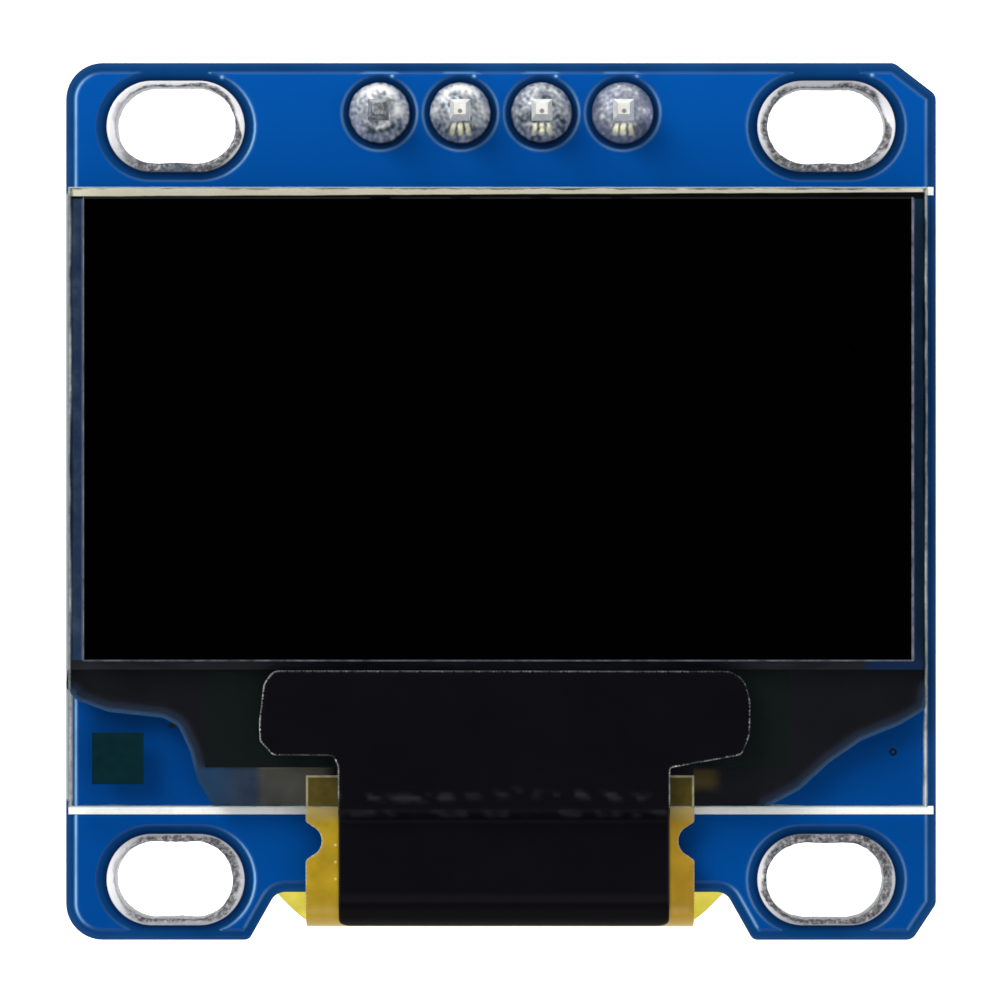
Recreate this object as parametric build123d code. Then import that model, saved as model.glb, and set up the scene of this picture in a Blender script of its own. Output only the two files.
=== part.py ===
from build123d import *
import os

# A small screen module: a glass display panel taped to a blue circuit board, joined to it by an amber
# flex that bends round the board's bottom edge and is soldered on the back, with a four-pin header.
# Millimetres. The origin is the centre of the four mounting slots, on the board's back face.
# +Z points out of the screen, +Y towards the header's edge.

# Circuit board
board_width = 27.26
board_thickness = 1.2
slot_inset_side = 3.435
slot_spacing_y = 23.6
slot_inset_top = 1.99
slot_inset_bottom = 1.89
corner_radius_top_left = 1.15
corner_radius_bottom_left = 1.15
corner_cut_top_right_width = 1.3
corner_cut_top_right_height = 1.0
corner_cut_bottom_right_width = 0.74
corner_cut_bottom_right_height = 1.12
corner_cut_rounding = 0.35
notch_mouth_width = 15.79
notch_top_width = 14.1
notch_depth = 1.5
notch_top_rounding = 0.5
notch_mouth_rounding = 0.25

# Layers on the board's two faces
copper_thickness = 0.035
mask_thickness = 0.025
pour_inset = 0.31
slot_pour_gap = 0.25
pin_pour_gap = 0.3
mask_gap = 0.05
legend_thickness = 0.02
legend_line_width = 0.26
legend_inset = 0.08
legend_top_line_drop = 4.02
legend_bottom_line_rise = 4.07
legend_bottom_line_length = 7.6
legend_frame_line = 0.15
legend_frame_gap = 0.35

# Plated mounting slots
slot_length = 3.8
slot_width = 2.55
slot_ring_end_margin = 0.34
slot_ring_side_margin = 0.18
slot_plating_wall = 0.04
slot_ring_thickness = 0.05

# Pin header
pin_count = 4
pin_pitch = 2.54
pin_row_inset = 1.57
pin_size = 0.64
pin_front_height = 1.8
pin_back_length = 6.0
pin_tip_length = 0.4
pin_tip_size = 0.36
pin_pad_radius = 0.95
header_block_depth = 2.54
header_block_height = 2.5
header_corner_cut = 0.45
header_edge_rounding = 0.12
solder_height = 1.15
solder_neck_share = 0.75
solder_bulge_width_share = 0.8
solder_bulge_height_share = 0.42
solder_overlap_on_pad = 0.02

# Glass display panel
panel_side_margin = 0.28
panel_height = 19.26
panel_shift_x = -0.095
panel_drop_from_top = 3.98
mounting_tape_thickness = 0.15
mounting_tape_margin = 0.5
cap_glass_thickness = 0.6
cap_glass_height = 15.0
cap_recess_depth = 0.25
cap_recess_margin = 1.3
desiccant_thickness = 0.15
desiccant_margin = 0.6
seal_thickness = 0.02
seal_width = 1.0
pixel_side_margin = 2.48
pixel_end_margin = 2.07
substrate_thickness = 0.6
glass_edge_chamfer = 0.05
polarizer_thickness = 0.2
polarizer_side_margin = 0.465
polarizer_height = 14.4
polarizer_drop = 0.32
polarizer_shift_x = 0.015
polarizer_edge_chamfer = 0.06

# What lies on the back of the glass ledge, below the cap glass
traces_side_margin = 4.22
traces_gap_below_cap = 0.05
traces_height = 3.0
driver_chip_length = 6.76
driver_chip_width = 0.86
driver_chip_thickness = 0.3
driver_chip_drop = 1.3
test_patch_width = 1.6
test_patch_height = 1.6
test_patch_inset_left = 0.7
test_patch_inset_bottom = 0.69
sealant_depth = 0.34

# Corners of the sealant's two outer edges: in from the glass side, up from its lower edge, rounding
sealant_left_edge = [(0, 3.4, 0.3), (1.25, 2.9, 0.8), (3.1, 2.72, 0.4), (3.72, 1.8, 0.8), (4.4, 0, 0)]
sealant_right_edge = [(0, 3.15, 0.3), (0.9, 2.55, 0.8), (2.2, 2.0, 0.8), (4.1, 0.45, 0.5), (5.0, 0, 0)]

# Flex circuit
flex_width = 12.1
flex_thickness = 0.1
flex_shift_x = -0.03
flex_head_overlap = 0.96
flex_bite_radius = 0.5
flex_bite_rounding = 0.15
flex_bite_drop = 1.085
flex_bend_gap_at_notch = 0.05
flex_gap_behind_board = 0.05
flex_waist_width = 14.4
flex_waist_height = 1.6
flex_tail_width = 19.44
flex_tail_flare_height = 1.3
flex_tail_end_rise = 8.66
flex_shoulder_radius = 0.86
flex_waist_corner_radius = 0.25
flex_flare_radius = 0.9
flex_tail_corner_radius = 0.6
lead_count = 30
lead_pitch = 0.62
lead_width = 0.3
lead_length = 1.5
lead_thickness = 0.03
lead_pad_half_length = 0.7
lead_solder_height = 0.12
lead_solder_crown_share = 0.15
lead_solder_run_share = 0.6

# Black shielding tape, a T that runs from the glass ledge over the flex
tape_thickness = 0.08
tape_gap_below_cap = 0.03
tape_head_width = 15.3
tape_head_height = 2.65
tape_head_shift_x = 0.1
tape_neck_width = 10.3
tape_neck_shift_x = 0.09
tape_neck_corner_radius = 0.35
tape_corner_cut = 0.5
tape_corner_rounding = 0.15
tape_side_rounding = 0.4
tape_end_rounding = 0.36
tape_left_slope = 0.62
tape_left_shoulder_in = 0.13
tape_left_shoulder = 0.72
tape_right_step = 0.46
tape_right_cut = 0.28
tape_right_shoulder = 0.85
tape_step_run = 0.55
tape_end_overhang = 0.94
diagonal = 0.5 ** 0.5

# Parts on the board's back
chip_length = 1.6
chip_width = 0.8
chip_terminal_length = 0.3
chip_terminal_proud = 0.02
chip_solder_film = 0.05
chip_solder_climb_share = 0.7
chip_solder_hollow = 0.33
chip_pad_extra_length = 0.35
capacitor_height = 0.8
capacitor_row_count = 6
capacitor_row_pitch = 3.0
capacitor_row_y = -1.2
capacitor_pair_pitch = 2.6
resistor_height = 0.45
resistor_count = 5
resistor_pitch = 2.2
resistor_row_y = 4.2
resistor_row_x = -5.6
regulator_x = 7.2
regulator_y = 5.4
regulator_body_width = 1.3
regulator_body_length = 2.9
regulator_body_height = 1.0
regulator_stand_off = 0.05
regulator_draft = 0.12
regulator_lead_pitch = 0.95
regulator_lead_width = 0.4
regulator_lead_thickness = 0.13
regulator_lead_length = 0.55
regulator_lead_bend_share = 0.42
regulator_pad_width = 0.6
regulator_pad_shift = 0.1

# Places worked out from the sizes above
board_top = slot_spacing_y / 2 + slot_inset_top
board_bottom = -slot_spacing_y / 2 - slot_inset_bottom
board_side = board_width / 2
slot_spacing_x = board_width - 2 * slot_inset_side
notch_y = board_bottom + notch_depth
layer_thickness = copper_thickness + mask_thickness
core_front_z = board_thickness - layer_thickness
core_back_z = layer_thickness
pad_face_z = core_back_z - copper_thickness
slot_places = [(x * slot_spacing_x / 2, y * slot_spacing_y / 2) for y in (1, -1) for x in (-1, 1)]
pin_row_y = board_top - pin_row_inset
pin_xs = [(i - (pin_count - 1) / 2) * pin_pitch for i in range(pin_count)]

panel_width = board_width - 2 * panel_side_margin
panel_top = board_top - panel_drop_from_top
panel_bottom = panel_top - panel_height
cap_bottom = panel_top - cap_glass_height
cap_back_z = board_thickness + mounting_tape_thickness
cap_front_z = cap_back_z + cap_glass_thickness
ledge_back_z = cap_front_z + seal_thickness
panel_front_z = ledge_back_z + substrate_thickness

flex_front_z = ledge_back_z - seal_thickness
flex_back_z = -flex_gap_behind_board - flex_thickness
flex_bend_radius = (flex_front_z - flex_back_z) / 2
flex_bend_z = (flex_front_z + flex_back_z) / 2
flex_bend_y = notch_y - flex_bend_gap_at_notch
flex_tail_end = board_bottom + flex_tail_end_rise
lead_xs = [flex_shift_x + (i - (lead_count - 1) / 2) * lead_pitch for i in range(lead_count)]

capacitor_places = [
    ((i - (capacitor_row_count - 1) / 2) * capacitor_row_pitch, capacitor_row_y)
    for i in range(capacitor_row_count)
] + [
    (regulator_x + side * capacitor_pair_pitch, regulator_y) for side in (-1, 1)
]
resistor_places = [
    (resistor_row_x + (i - (resistor_count - 1) / 2) * resistor_pitch, resistor_row_y)
    for i in range(resistor_count)
]
chip_places = capacitor_places + resistor_places
regulator_leads_at = [(-1, -regulator_lead_pitch), (-1, regulator_lead_pitch), (1, 0.0)]


def prism(area, z_low, z_high):
    """A flat outline carried from one height to another."""
    return Pos(0, 0, z_low) * extrude(area, amount=z_high - z_low, dir=(0, 0, 1))


def slab(width, height, z_low, z_high, x=0.0, y=0.0):
    """A rectangular sheet centred on x and y, between two heights."""
    return prism(Pos(x, y) * Rectangle(width, height), z_low, z_high)


def outline(corners):
    """A closed flat outline through corners given as x, y and the radius of their rounding."""
    points = [(x, y) for x, y, radius in corners]
    return make_face(FilletPolyline(*points, radius=[radius for x, y, radius in corners], close=True))


def board_outline():
    mouth = notch_mouth_width / 2
    top = notch_top_width / 2
    return outline([
        (-board_side, board_bottom, corner_radius_bottom_left),
        (-mouth, board_bottom, notch_mouth_rounding),
        (-top, notch_y, notch_top_rounding),
        (top, notch_y, notch_top_rounding),
        (mouth, board_bottom, notch_mouth_rounding),
        (board_side - corner_cut_bottom_right_width, board_bottom, corner_cut_rounding),
        (board_side, board_bottom + corner_cut_bottom_right_height, corner_cut_rounding),
        (board_side, board_top - corner_cut_top_right_height, corner_cut_rounding),
        (board_side - corner_cut_top_right_width, board_top, corner_cut_rounding),
        (-board_side, board_top, corner_radius_top_left),
    ])


def at_slots(shape):
    return [Pos(x, y) * shape for x, y in slot_places]


def at_pins(shape):
    return [Pos(x, pin_row_y) * shape for x in pin_xs]


def slot_ring(grow=0.0):
    """The outline of a slot's ring, with an even margin round it."""
    length = slot_length + 2 * (slot_ring_end_margin + grow)
    return SlotOverall(length, slot_width + 2 * (slot_ring_side_margin + grow))


def pad_places():
    """Centre, width and height of every pad that a part on the back is soldered to."""
    chip_offset = chip_length / 2 - chip_terminal_length / 2 + chip_pad_extra_length / 2
    pad_length = chip_terminal_length + chip_pad_extra_length
    pads = [(x, y + side * chip_offset, chip_width, pad_length) for x, y in chip_places for side in (-1, 1)]
    lead_offset = (regulator_body_width + regulator_lead_length) / 2 + regulator_pad_shift
    for side, y in regulator_leads_at:
        x = regulator_x + side * lead_offset
        pads.append((x, regulator_y + y, regulator_lead_length, regulator_pad_width))
    row_width = (lead_count - 1) * lead_pitch + lead_width
    pads.append((flex_shift_x, flex_tail_end, row_width, 2 * lead_pad_half_length))
    return pads


def pad_windows():
    """The openings in the lacquer round the pads. The row of lead pads shares one."""
    gap = 2 * mask_gap
    return [Pos(x, y) * Rectangle(w + gap, h + gap) for x, y, w, h in pad_places()]


def pour_outline():
    """Where copper lies under the lacquer: clear of the edge, the slots' rings and the pins' pads."""
    area = offset(board_outline(), amount=-pour_inset)
    area -= at_slots(slot_ring(slot_pour_gap))
    area -= at_pins(Circle(pin_pad_radius + pin_pour_gap))
    return area


def board_core():
    hole = SlotOverall(slot_length + 2 * slot_plating_wall, slot_width + 2 * slot_plating_wall)
    area = board_outline() - at_slots(hole) - at_pins(Rectangle(pin_size, pin_size))
    return prism(area, core_back_z, core_front_z)


def front_mask():
    """The lacquer with the copper that it covers, a step higher where copper lies under it."""
    area = board_outline() - at_slots(slot_ring(mask_gap)) - at_pins(Circle(pin_pad_radius + mask_gap))
    low = prism(area, core_front_z, core_front_z + mask_thickness)
    return low + prism(pour_outline(), core_front_z, board_thickness)


def back_mask():
    """The lacquer on the back, open at the slots and the pads and pierced by the header's pins."""
    area = board_outline() - at_slots(slot_ring(mask_gap)) - pad_windows()
    area -= at_pins(Rectangle(pin_size, pin_size))
    return prism(area, 0, core_back_z)


def front_silkscreen():
    """White lines printed along the panel's top and bottom edges. The lower one stops at the flex."""
    low = board_thickness
    high = low + legend_thickness
    length = board_width - 2 * legend_inset
    lines = [slab(length, legend_line_width, low, high, 0, board_top - legend_top_line_drop)]
    short = legend_bottom_line_length
    x = (length - short) / 2
    y = board_bottom + legend_bottom_line_rise
    return lines + [slab(short, legend_line_width, low, high, side * x, y) for side in (-1, 1)]


def back_silkscreen():
    """Plain frames printed round the groups of small parts."""
    tall = chip_length + 2 * chip_pad_extra_length
    groups = [
        (0.0, capacitor_row_y, (capacitor_row_count - 1) * capacitor_row_pitch + chip_width, tall),
        (resistor_row_x, resistor_row_y, (resistor_count - 1) * resistor_pitch + chip_width, tall),
        (regulator_x, regulator_y, 2 * capacitor_pair_pitch + chip_width, regulator_body_length),
    ]
    frames = []
    for x, y, width, height in groups:
        inner = Rectangle(width + 2 * legend_frame_gap, height + 2 * legend_frame_gap)
        outer = offset(inner, amount=legend_frame_line, kind=Kind.INTERSECTION)
        frames.append(prism(Pos(x, y) * (outer - inner), -legend_thickness, 0))
    return frames


def slot_plating():
    """A plated slot: the barrel through the board and its ring on each face."""
    ring = slot_ring()
    hole = SlotOverall(slot_length, slot_width)
    barrel = SlotOverall(slot_length + 2 * slot_plating_wall, slot_width + 2 * slot_plating_wall)
    solid = prism(barrel, core_back_z, core_front_z)
    solid += prism(ring, core_front_z, core_front_z + slot_ring_thickness)
    solid += prism(ring, core_back_z - slot_ring_thickness, core_back_z)
    return solid - prism(hole, 0, board_thickness)


def header_block():
    """The moulded strip that holds the pins, with cut corners between neighbours."""
    length = pin_count * pin_pitch
    cell = chamfer(Rectangle(pin_pitch, header_block_depth).vertices(), header_corner_cut)
    strip = Rectangle(length - 2 * header_corner_cut, header_block_depth - 2 * header_corner_cut)
    area = strip + [Pos(x, 0) * cell for x in pin_xs]
    solid = prism(area, -header_block_height, 0)
    solid = chamfer(solid.faces().sort_by(Axis.Z)[0].edges(), header_edge_rounding)
    holes = [Pos(x, 0) * Rectangle(pin_size, pin_size) for x in pin_xs]
    return Pos(0, pin_row_y) * (solid - prism(Sketch() + holes, -header_block_height, 0))


def header_pin():
    """A square pin drawn to a blunt point at both ends."""
    top = board_thickness + pin_front_height
    bottom = -header_block_height - pin_back_length
    pin = slab(pin_size, pin_size, bottom, top)
    for which in (0, -1):
        end = pin.faces().sort_by(Axis.Z)[which]
        pin = chamfer(end.edges(), (pin_size - pin_tip_size) / 2, pin_tip_length, reference=end)
    return pin


def solder_joint(pin):
    """Solder that covers the pad round a pin, bulging out and then in to the pin."""
    foot = core_front_z
    rim = pin_pad_radius + solder_overlap_on_pad
    rise = board_thickness + solder_height - foot
    neck = pin_size * solder_neck_share
    bulge = (rim * solder_bulge_width_share, foot + rise * solder_bulge_height_share)
    profile = [(0, foot), (rim, foot), bulge, (neck, foot + rise), (0, foot + rise)]
    return revolve(make_face(Plane.XZ * Polyline(*profile, close=True)), Axis.Z) - pin


def mounting_tape():
    inset = 2 * mounting_tape_margin
    y = (panel_top + cap_bottom) / 2
    return slab(panel_width - inset, cap_glass_height - inset, board_thickness, cap_back_z, panel_shift_x, y)


def cap_sized(margin, z_low, z_high):
    y = (panel_top + cap_bottom) / 2
    return slab(panel_width - 2 * margin, cap_glass_height - 2 * margin, z_low, z_high, panel_shift_x, y)


def cap_glass():
    """The rear glass, hollowed on its inner face to hold the drying sheet."""
    return cap_sized(0, cap_back_z, cap_front_z) - cap_sized(
        cap_recess_margin, cap_front_z - cap_recess_depth, cap_front_z)


def desiccant_sheet():
    floor = cap_front_z - cap_recess_depth
    return cap_sized(cap_recess_margin + desiccant_margin, floor, floor + desiccant_thickness)


def edge_seal():
    return cap_sized(0, cap_front_z, ledge_back_z) - cap_sized(seal_width, cap_front_z, ledge_back_z)


def pixel_layer():
    y = (panel_top + cap_bottom) / 2
    width = panel_width - 2 * pixel_side_margin
    height = cap_glass_height - 2 * pixel_end_margin
    return slab(width, height, cap_front_z, ledge_back_z, panel_shift_x, y)


def substrate_glass():
    y = (panel_top + panel_bottom) / 2
    sheet = slab(panel_width, panel_height, ledge_back_z, panel_front_z, panel_shift_x, y)
    return chamfer(sheet.faces().sort_by(Axis.Z)[-1].edges(), glass_edge_chamfer)


def polarizer():
    x = panel_shift_x + polarizer_shift_x
    y = panel_top - polarizer_drop - polarizer_height / 2
    width = panel_width - 2 * polarizer_side_margin
    sheet = slab(width, polarizer_height, panel_front_z, panel_front_z + polarizer_thickness, x, y)
    return chamfer(sheet.faces().sort_by(Axis.Z)[-1].edges(), polarizer_edge_chamfer)


def ledge_traces():
    y = cap_bottom - traces_gap_below_cap - traces_height / 2
    width = panel_width - 2 * traces_side_margin
    return slab(width, traces_height, flex_front_z, ledge_back_z, panel_shift_x, y)


def driver_chip():
    y = cap_bottom - driver_chip_drop - driver_chip_width / 2
    z = flex_front_z
    return slab(driver_chip_length, driver_chip_width, z - driver_chip_thickness, z, panel_shift_x, y)


def flex_bond():
    """The adhesive film that holds the flex's head to the glass."""
    y = panel_bottom + flex_head_overlap / 2
    return slab(flex_width, flex_head_overlap, flex_front_z, ledge_back_z, flex_shift_x, y)


def test_patch():
    x = panel_shift_x - panel_width / 2 + test_patch_inset_left + test_patch_width / 2
    y = panel_bottom + test_patch_inset_bottom + test_patch_height / 2
    return slab(test_patch_width, test_patch_height, flex_front_z, ledge_back_z, x, y)


def ledge_sealant(buried):
    """Resin over the back of the ledge, round the chip and the flex's head, run out to the glass ends."""
    side = panel_width / 2
    left = [(x - side, panel_bottom + y, radius) for x, y, radius in reversed(sealant_left_edge)]
    right = [(side - x, panel_bottom + y, radius) for x, y, radius in sealant_right_edge]
    area = outline(left + [(-side, cap_bottom, 0), (side, cap_bottom, 0)] + right)
    solid = prism(Pos(panel_shift_x, 0) * area, ledge_back_z - sealant_depth, ledge_back_z)
    for piece in buried:
        solid -= piece
    return solid


def flex_sheet():
    """A wide sheet that runs flat to the bend, round it, and flat along the board's back."""
    outer = flex_bend_radius
    inner = outer - flex_thickness
    start = panel_bottom + flex_head_overlap
    y = flex_bend_y
    z = flex_bend_z
    section = make_face(Plane.YZ * (
        Polyline((y, z + inner), (start, z + inner), (start, z + outer), (y, z + outer))
        + ThreePointArc((y, z + outer), (y - outer, z), (y, z - outer))
        + Polyline((y, z - outer), (flex_tail_end, z - outer), (flex_tail_end, z - inner), (y, z - inner))
        + ThreePointArc((y, z - inner), (y - inner, z), (y, z + inner))
    ))
    return extrude(section, amount=flex_tail_width, both=True)


def flex_front_outline():
    """The strip in front, with a round locating bite in each side."""
    top = panel_bottom + flex_head_overlap
    bottom = flex_bend_y - 2 * flex_bend_radius
    bite_y = panel_bottom - flex_bite_drop
    strip = Pos(0, (top + bottom) / 2) * Rectangle(flex_width, top - bottom)
    strip -= [Pos(side * flex_width / 2, bite_y) * Circle(flex_bite_radius) for side in (-1, 1)]
    shoulders = [v for v in strip.vertices() if abs(v.Y - bite_y) < 1.01 * flex_bite_radius]
    return Pos(flex_shift_x, 0) * fillet(shoulders, flex_bite_rounding)


def flex_back_outline():
    """The tail behind the board: it passes between the slots, then flares to carry the row of leads."""
    half = flex_width / 2
    waist = flex_waist_width / 2
    wide = flex_tail_width / 2
    bottom = flex_bend_y - 2 * flex_bend_radius
    shoulder = flex_bend_y
    flare_start = shoulder + flex_waist_height
    flare_end = flare_start + flex_tail_flare_height
    right = [
        (half, bottom, 0),
        (half, shoulder, flex_shoulder_radius),
        (waist, shoulder, flex_waist_corner_radius),
        (waist, flare_start, flex_flare_radius),
        (wide, flare_end, flex_tail_corner_radius),
        (wide, flex_tail_end, 0),
    ]
    left = [(-x, y, radius) for x, y, radius in reversed(right)]
    return Pos(flex_shift_x, 0) * outline(right + left)


def flex_circuit():
    sheet = flex_sheet()
    front = sheet & prism(flex_front_outline(), flex_bend_z, flex_front_z + flex_thickness)
    back = sheet & prism(flex_back_outline(), flex_back_z - flex_thickness, flex_bend_z)
    return front + back


def flex_leads():
    """Tinned leads on the outside of the flex's tail, side by side at its end."""
    y = flex_tail_end - lead_length / 2
    return [slab(lead_width, lead_length, flex_back_z - lead_thickness, flex_back_z, x, y) for x in lead_xs]


def lead_solder():
    """Solder that holds each lead to its pad: under the tail, round its end and over the lead."""
    under = flex_back_z + flex_thickness
    top = flex_back_z - lead_thickness
    end = flex_tail_end
    reach = lead_pad_half_length
    profile = [(end - reach, core_back_z), (end + reach, core_back_z),
               (end + lead_solder_crown_share * reach, top - lead_solder_height),
               (end - lead_solder_run_share * reach, top), (end, top), (end, under)]
    bead = extrude(make_face(Plane.YZ * Polyline(*profile, close=True)), amount=lead_width / 2, both=True)
    return [Pos(x, 0, 0) * bead for x in lead_xs]


def tape_outline():
    """A T cut by hand: a sloping left side, cut corners and a right wing that drops at an angle."""
    top = cap_bottom - tape_gap_below_cap
    foot = top - tape_head_height
    head = tape_head_width / 2
    left = tape_head_shift_x - head
    right = tape_head_shift_x + head
    neck_left = tape_neck_shift_x - tape_neck_width / 2
    neck_right = tape_neck_shift_x + tape_neck_width / 2
    bottom = flex_bend_y - tape_end_overhang
    cut = tape_corner_cut
    nick = tape_corner_rounding
    return outline([
        (left + tape_left_slope, top, nick),
        (left + tape_left_shoulder_in, top - tape_left_shoulder, tape_side_rounding),
        (left, foot + cut, nick),
        (left + cut, foot, nick),
        (neck_left, foot, tape_neck_corner_radius),
        (neck_left, bottom, tape_end_rounding),
        (neck_right, bottom, tape_end_rounding),
        (neck_right, foot - tape_right_step, tape_neck_corner_radius),
        (right - tape_right_cut, foot, nick),
        (right, foot + cut, tape_side_rounding),
        (right, top - tape_right_shoulder, tape_side_rounding),
        (right - tape_right_cut, top - tape_right_cut, nick),
        (right - 2 * tape_right_cut, top, nick),
    ])


def shield_tape():
    """The tape lies on the glass ledge, steps down over its edge and follows the flex into the bend."""
    t = tape_thickness
    inner = flex_bend_radius
    outer = inner + t
    glass = panel_front_z
    flex = flex_front_z
    step_y = panel_bottom - tape_step_run
    y = flex_bend_y
    z = flex_bend_z
    section = make_face(Plane.YZ * (
        Polyline((y, flex), (step_y, flex), (panel_bottom, glass - glass_edge_chamfer),
                 (panel_bottom + glass_edge_chamfer, glass), (cap_bottom, glass), (cap_bottom, glass + t),
                 (panel_bottom - t / 2, glass + t), (step_y - t / 2, flex + t), (y, flex + t))
        + ThreePointArc((y, z + outer), (y - outer * diagonal, z + outer * diagonal), (y - outer, z))
        + Line((y - outer, z), (y - inner, z))
        + ThreePointArc((y - inner, z), (y - inner * diagonal, z + inner * diagonal), (y, z + inner))
    ))
    sheet = extrude(section, amount=tape_head_width, both=True)
    return sheet & prism(tape_outline(), flex_bend_z, panel_front_z + 2 * t)


def chip(height):
    """A chip part: a body between two end terminals that wrap it and stand a little proud."""
    foot = pad_face_z - chip_solder_film
    width = chip_width - 2 * chip_terminal_proud
    between = chip_length - chip_terminal_length
    body = slab(width, between, foot - height + chip_terminal_proud, foot - chip_terminal_proud)
    ends_y = (chip_length - chip_terminal_length) / 2
    ends = [slab(chip_width, chip_terminal_length, foot - height, foot, 0, side * ends_y) for side in (-1, 1)]
    return body + ends


def chip_solder():
    """A pad at each end of every chip part, with solder under the terminal and up its end."""
    foot = pad_face_z - chip_solder_film
    terminal = chip_length / 2
    inner = terminal - chip_terminal_length
    outer = terminal + chip_pad_extra_length
    joints = []
    for places, height in ((capacitor_places, capacitor_height), (resistor_places, resistor_height)):
        climb = chip_solder_climb_share * height
        hollow = (terminal + chip_solder_hollow * chip_pad_extra_length, foot - chip_solder_hollow * climb)
        profile = [(inner, core_back_z), (outer, core_back_z), (outer, pad_face_z), hollow,
                   (terminal, foot - climb), (terminal, foot), (inner, foot)]
        section = make_face(Plane.YZ * Polyline(*profile, close=True))
        wedge = extrude(section, amount=chip_width / 2, both=True)
        for x, y in places:
            joints += [Pos(x, y, 0) * wedge, Pos(x, y, 0) * (Rot(0, 0, 180) * wedge)]
    return joints


def regulator_body():
    """The moulded body, drafted both ways from the line where its leads come out."""
    top = pad_face_z - regulator_stand_off
    bottom = top - regulator_body_height
    middle = (top + bottom) / 2
    wide = Rectangle(regulator_body_width, regulator_body_length)
    narrow = offset(wide, amount=-regulator_draft, kind=Kind.INTERSECTION)
    upper = loft([Pos(0, 0, middle) * wide, Pos(0, 0, top) * narrow])
    lower = loft([Pos(0, 0, bottom) * narrow, Pos(0, 0, middle) * wide])
    return Pos(regulator_x, regulator_y, 0) * (upper + lower)


def regulator_leads():
    """Gull-wing leads: out of the body's side, down, and flat on the pad."""
    foot = pad_face_z
    t = regulator_lead_thickness
    inner = regulator_body_width / 2
    outer = inner + regulator_lead_length
    bend = inner + regulator_lead_bend_share * regulator_lead_length
    out_z = foot - regulator_stand_off - regulator_body_height / 2
    profile = [(inner, out_z + t / 2), (bend - t, out_z + t / 2), (bend - t / 2, foot), (outer, foot),
               (outer, foot - t), (bend + t / 2, foot - t), (bend, out_z - t / 2), (inner, out_z - t / 2)]
    section = make_face(Plane.XZ * Polyline(*profile, close=True))
    lead = extrude(section, amount=regulator_lead_width / 2, both=True)
    leads = []
    for side, y in regulator_leads_at:
        turned = lead if side > 0 else Rot(0, 0, 180) * lead
        leads.append(Pos(regulator_x, regulator_y + y, 0) * turned)
    return leads


def regulator_pads():
    x = (regulator_body_width + regulator_lead_length) / 2 + regulator_pad_shift
    pad = slab(regulator_lead_length, regulator_pad_width, pad_face_z, core_back_z)
    return [Pos(regulator_x + side * x, regulator_y + y, 0) * pad for side, y in regulator_leads_at]


def main():
    os.makedirs("parts", exist_ok=True)
    nodes = {}
    nodes["board_core"] = board_core()
    nodes["front_mask"] = front_mask()
    nodes["back_mask"] = back_mask()
    nodes["front_silkscreen"] = front_silkscreen()
    nodes["back_silkscreen"] = back_silkscreen()
    for i, (x, y) in enumerate(slot_places, 1):
        nodes[f"slot_plating_{i}"] = Pos(x, y, 0) * slot_plating()
    pin = header_pin()
    for i, x in enumerate(pin_xs, 1):
        place = Pos(x, pin_row_y, 0)
        nodes[f"header_pin_{i}"] = place * pin
        nodes[f"solder_joint_{i}"] = place * solder_joint(pin)
    nodes["header_block"] = header_block()

    nodes["mounting_tape"] = mounting_tape()
    nodes["cap_glass"] = cap_glass()
    nodes["desiccant_sheet"] = desiccant_sheet()
    nodes["edge_seal"] = edge_seal()
    nodes["pixel_layer"] = pixel_layer()
    nodes["substrate_glass"] = substrate_glass()
    nodes["polarizer"] = polarizer()

    nodes["ledge_traces"] = ledge_traces()
    nodes["driver_chip"] = driver_chip()
    nodes["flex_bond"] = flex_bond()
    nodes["test_patch"] = test_patch()
    nodes["flex_circuit"] = flex_circuit()
    buried = ("ledge_traces", "driver_chip", "flex_bond", "test_patch", "flex_circuit")
    nodes["ledge_sealant"] = ledge_sealant([nodes[name] for name in buried])
    nodes["flex_leads"] = flex_leads()
    nodes["lead_solder"] = lead_solder()
    nodes["shield_tape"] = shield_tape()

    nodes["regulator_pads"] = regulator_pads()
    nodes["chip_solder"] = chip_solder()
    nodes["regulator_body"] = regulator_body()
    nodes["regulator_leads"] = regulator_leads()
    for i, (x, y) in enumerate(capacitor_places, 1):
        nodes[f"capacitor_{i}"] = Pos(x, y, 0) * chip(capacitor_height)
    for i, (x, y) in enumerate(resistor_places, 1):
        nodes[f"resistor_{i}"] = Pos(x, y, 0) * chip(resistor_height)

    for name, shape in nodes.items():
        pieces = shape if isinstance(shape, list) else [shape]
        solids = [solid for piece in pieces for solid in piece.solids()]
        export_step(Compound(children=solids), f"parts/{name}.step")


main()
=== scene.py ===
import math

import bmesh
import bpy
import numpy as np
from mathutils import Matrix, Vector, geometry, noise


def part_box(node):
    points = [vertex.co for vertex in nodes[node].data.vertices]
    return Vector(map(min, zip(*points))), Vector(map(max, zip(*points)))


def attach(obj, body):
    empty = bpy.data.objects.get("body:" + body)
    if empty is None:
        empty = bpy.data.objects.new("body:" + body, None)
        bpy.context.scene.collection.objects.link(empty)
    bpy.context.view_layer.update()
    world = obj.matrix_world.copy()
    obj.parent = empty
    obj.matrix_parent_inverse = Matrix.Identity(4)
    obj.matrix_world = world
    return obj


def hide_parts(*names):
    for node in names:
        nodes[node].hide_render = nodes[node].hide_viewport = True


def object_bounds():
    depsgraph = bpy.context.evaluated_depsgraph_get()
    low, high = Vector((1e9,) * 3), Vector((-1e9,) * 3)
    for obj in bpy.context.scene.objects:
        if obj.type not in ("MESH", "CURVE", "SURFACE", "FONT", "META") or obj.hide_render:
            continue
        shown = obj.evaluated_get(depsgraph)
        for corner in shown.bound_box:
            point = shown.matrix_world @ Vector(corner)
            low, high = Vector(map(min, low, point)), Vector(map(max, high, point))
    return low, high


MM = 0.001
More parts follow.
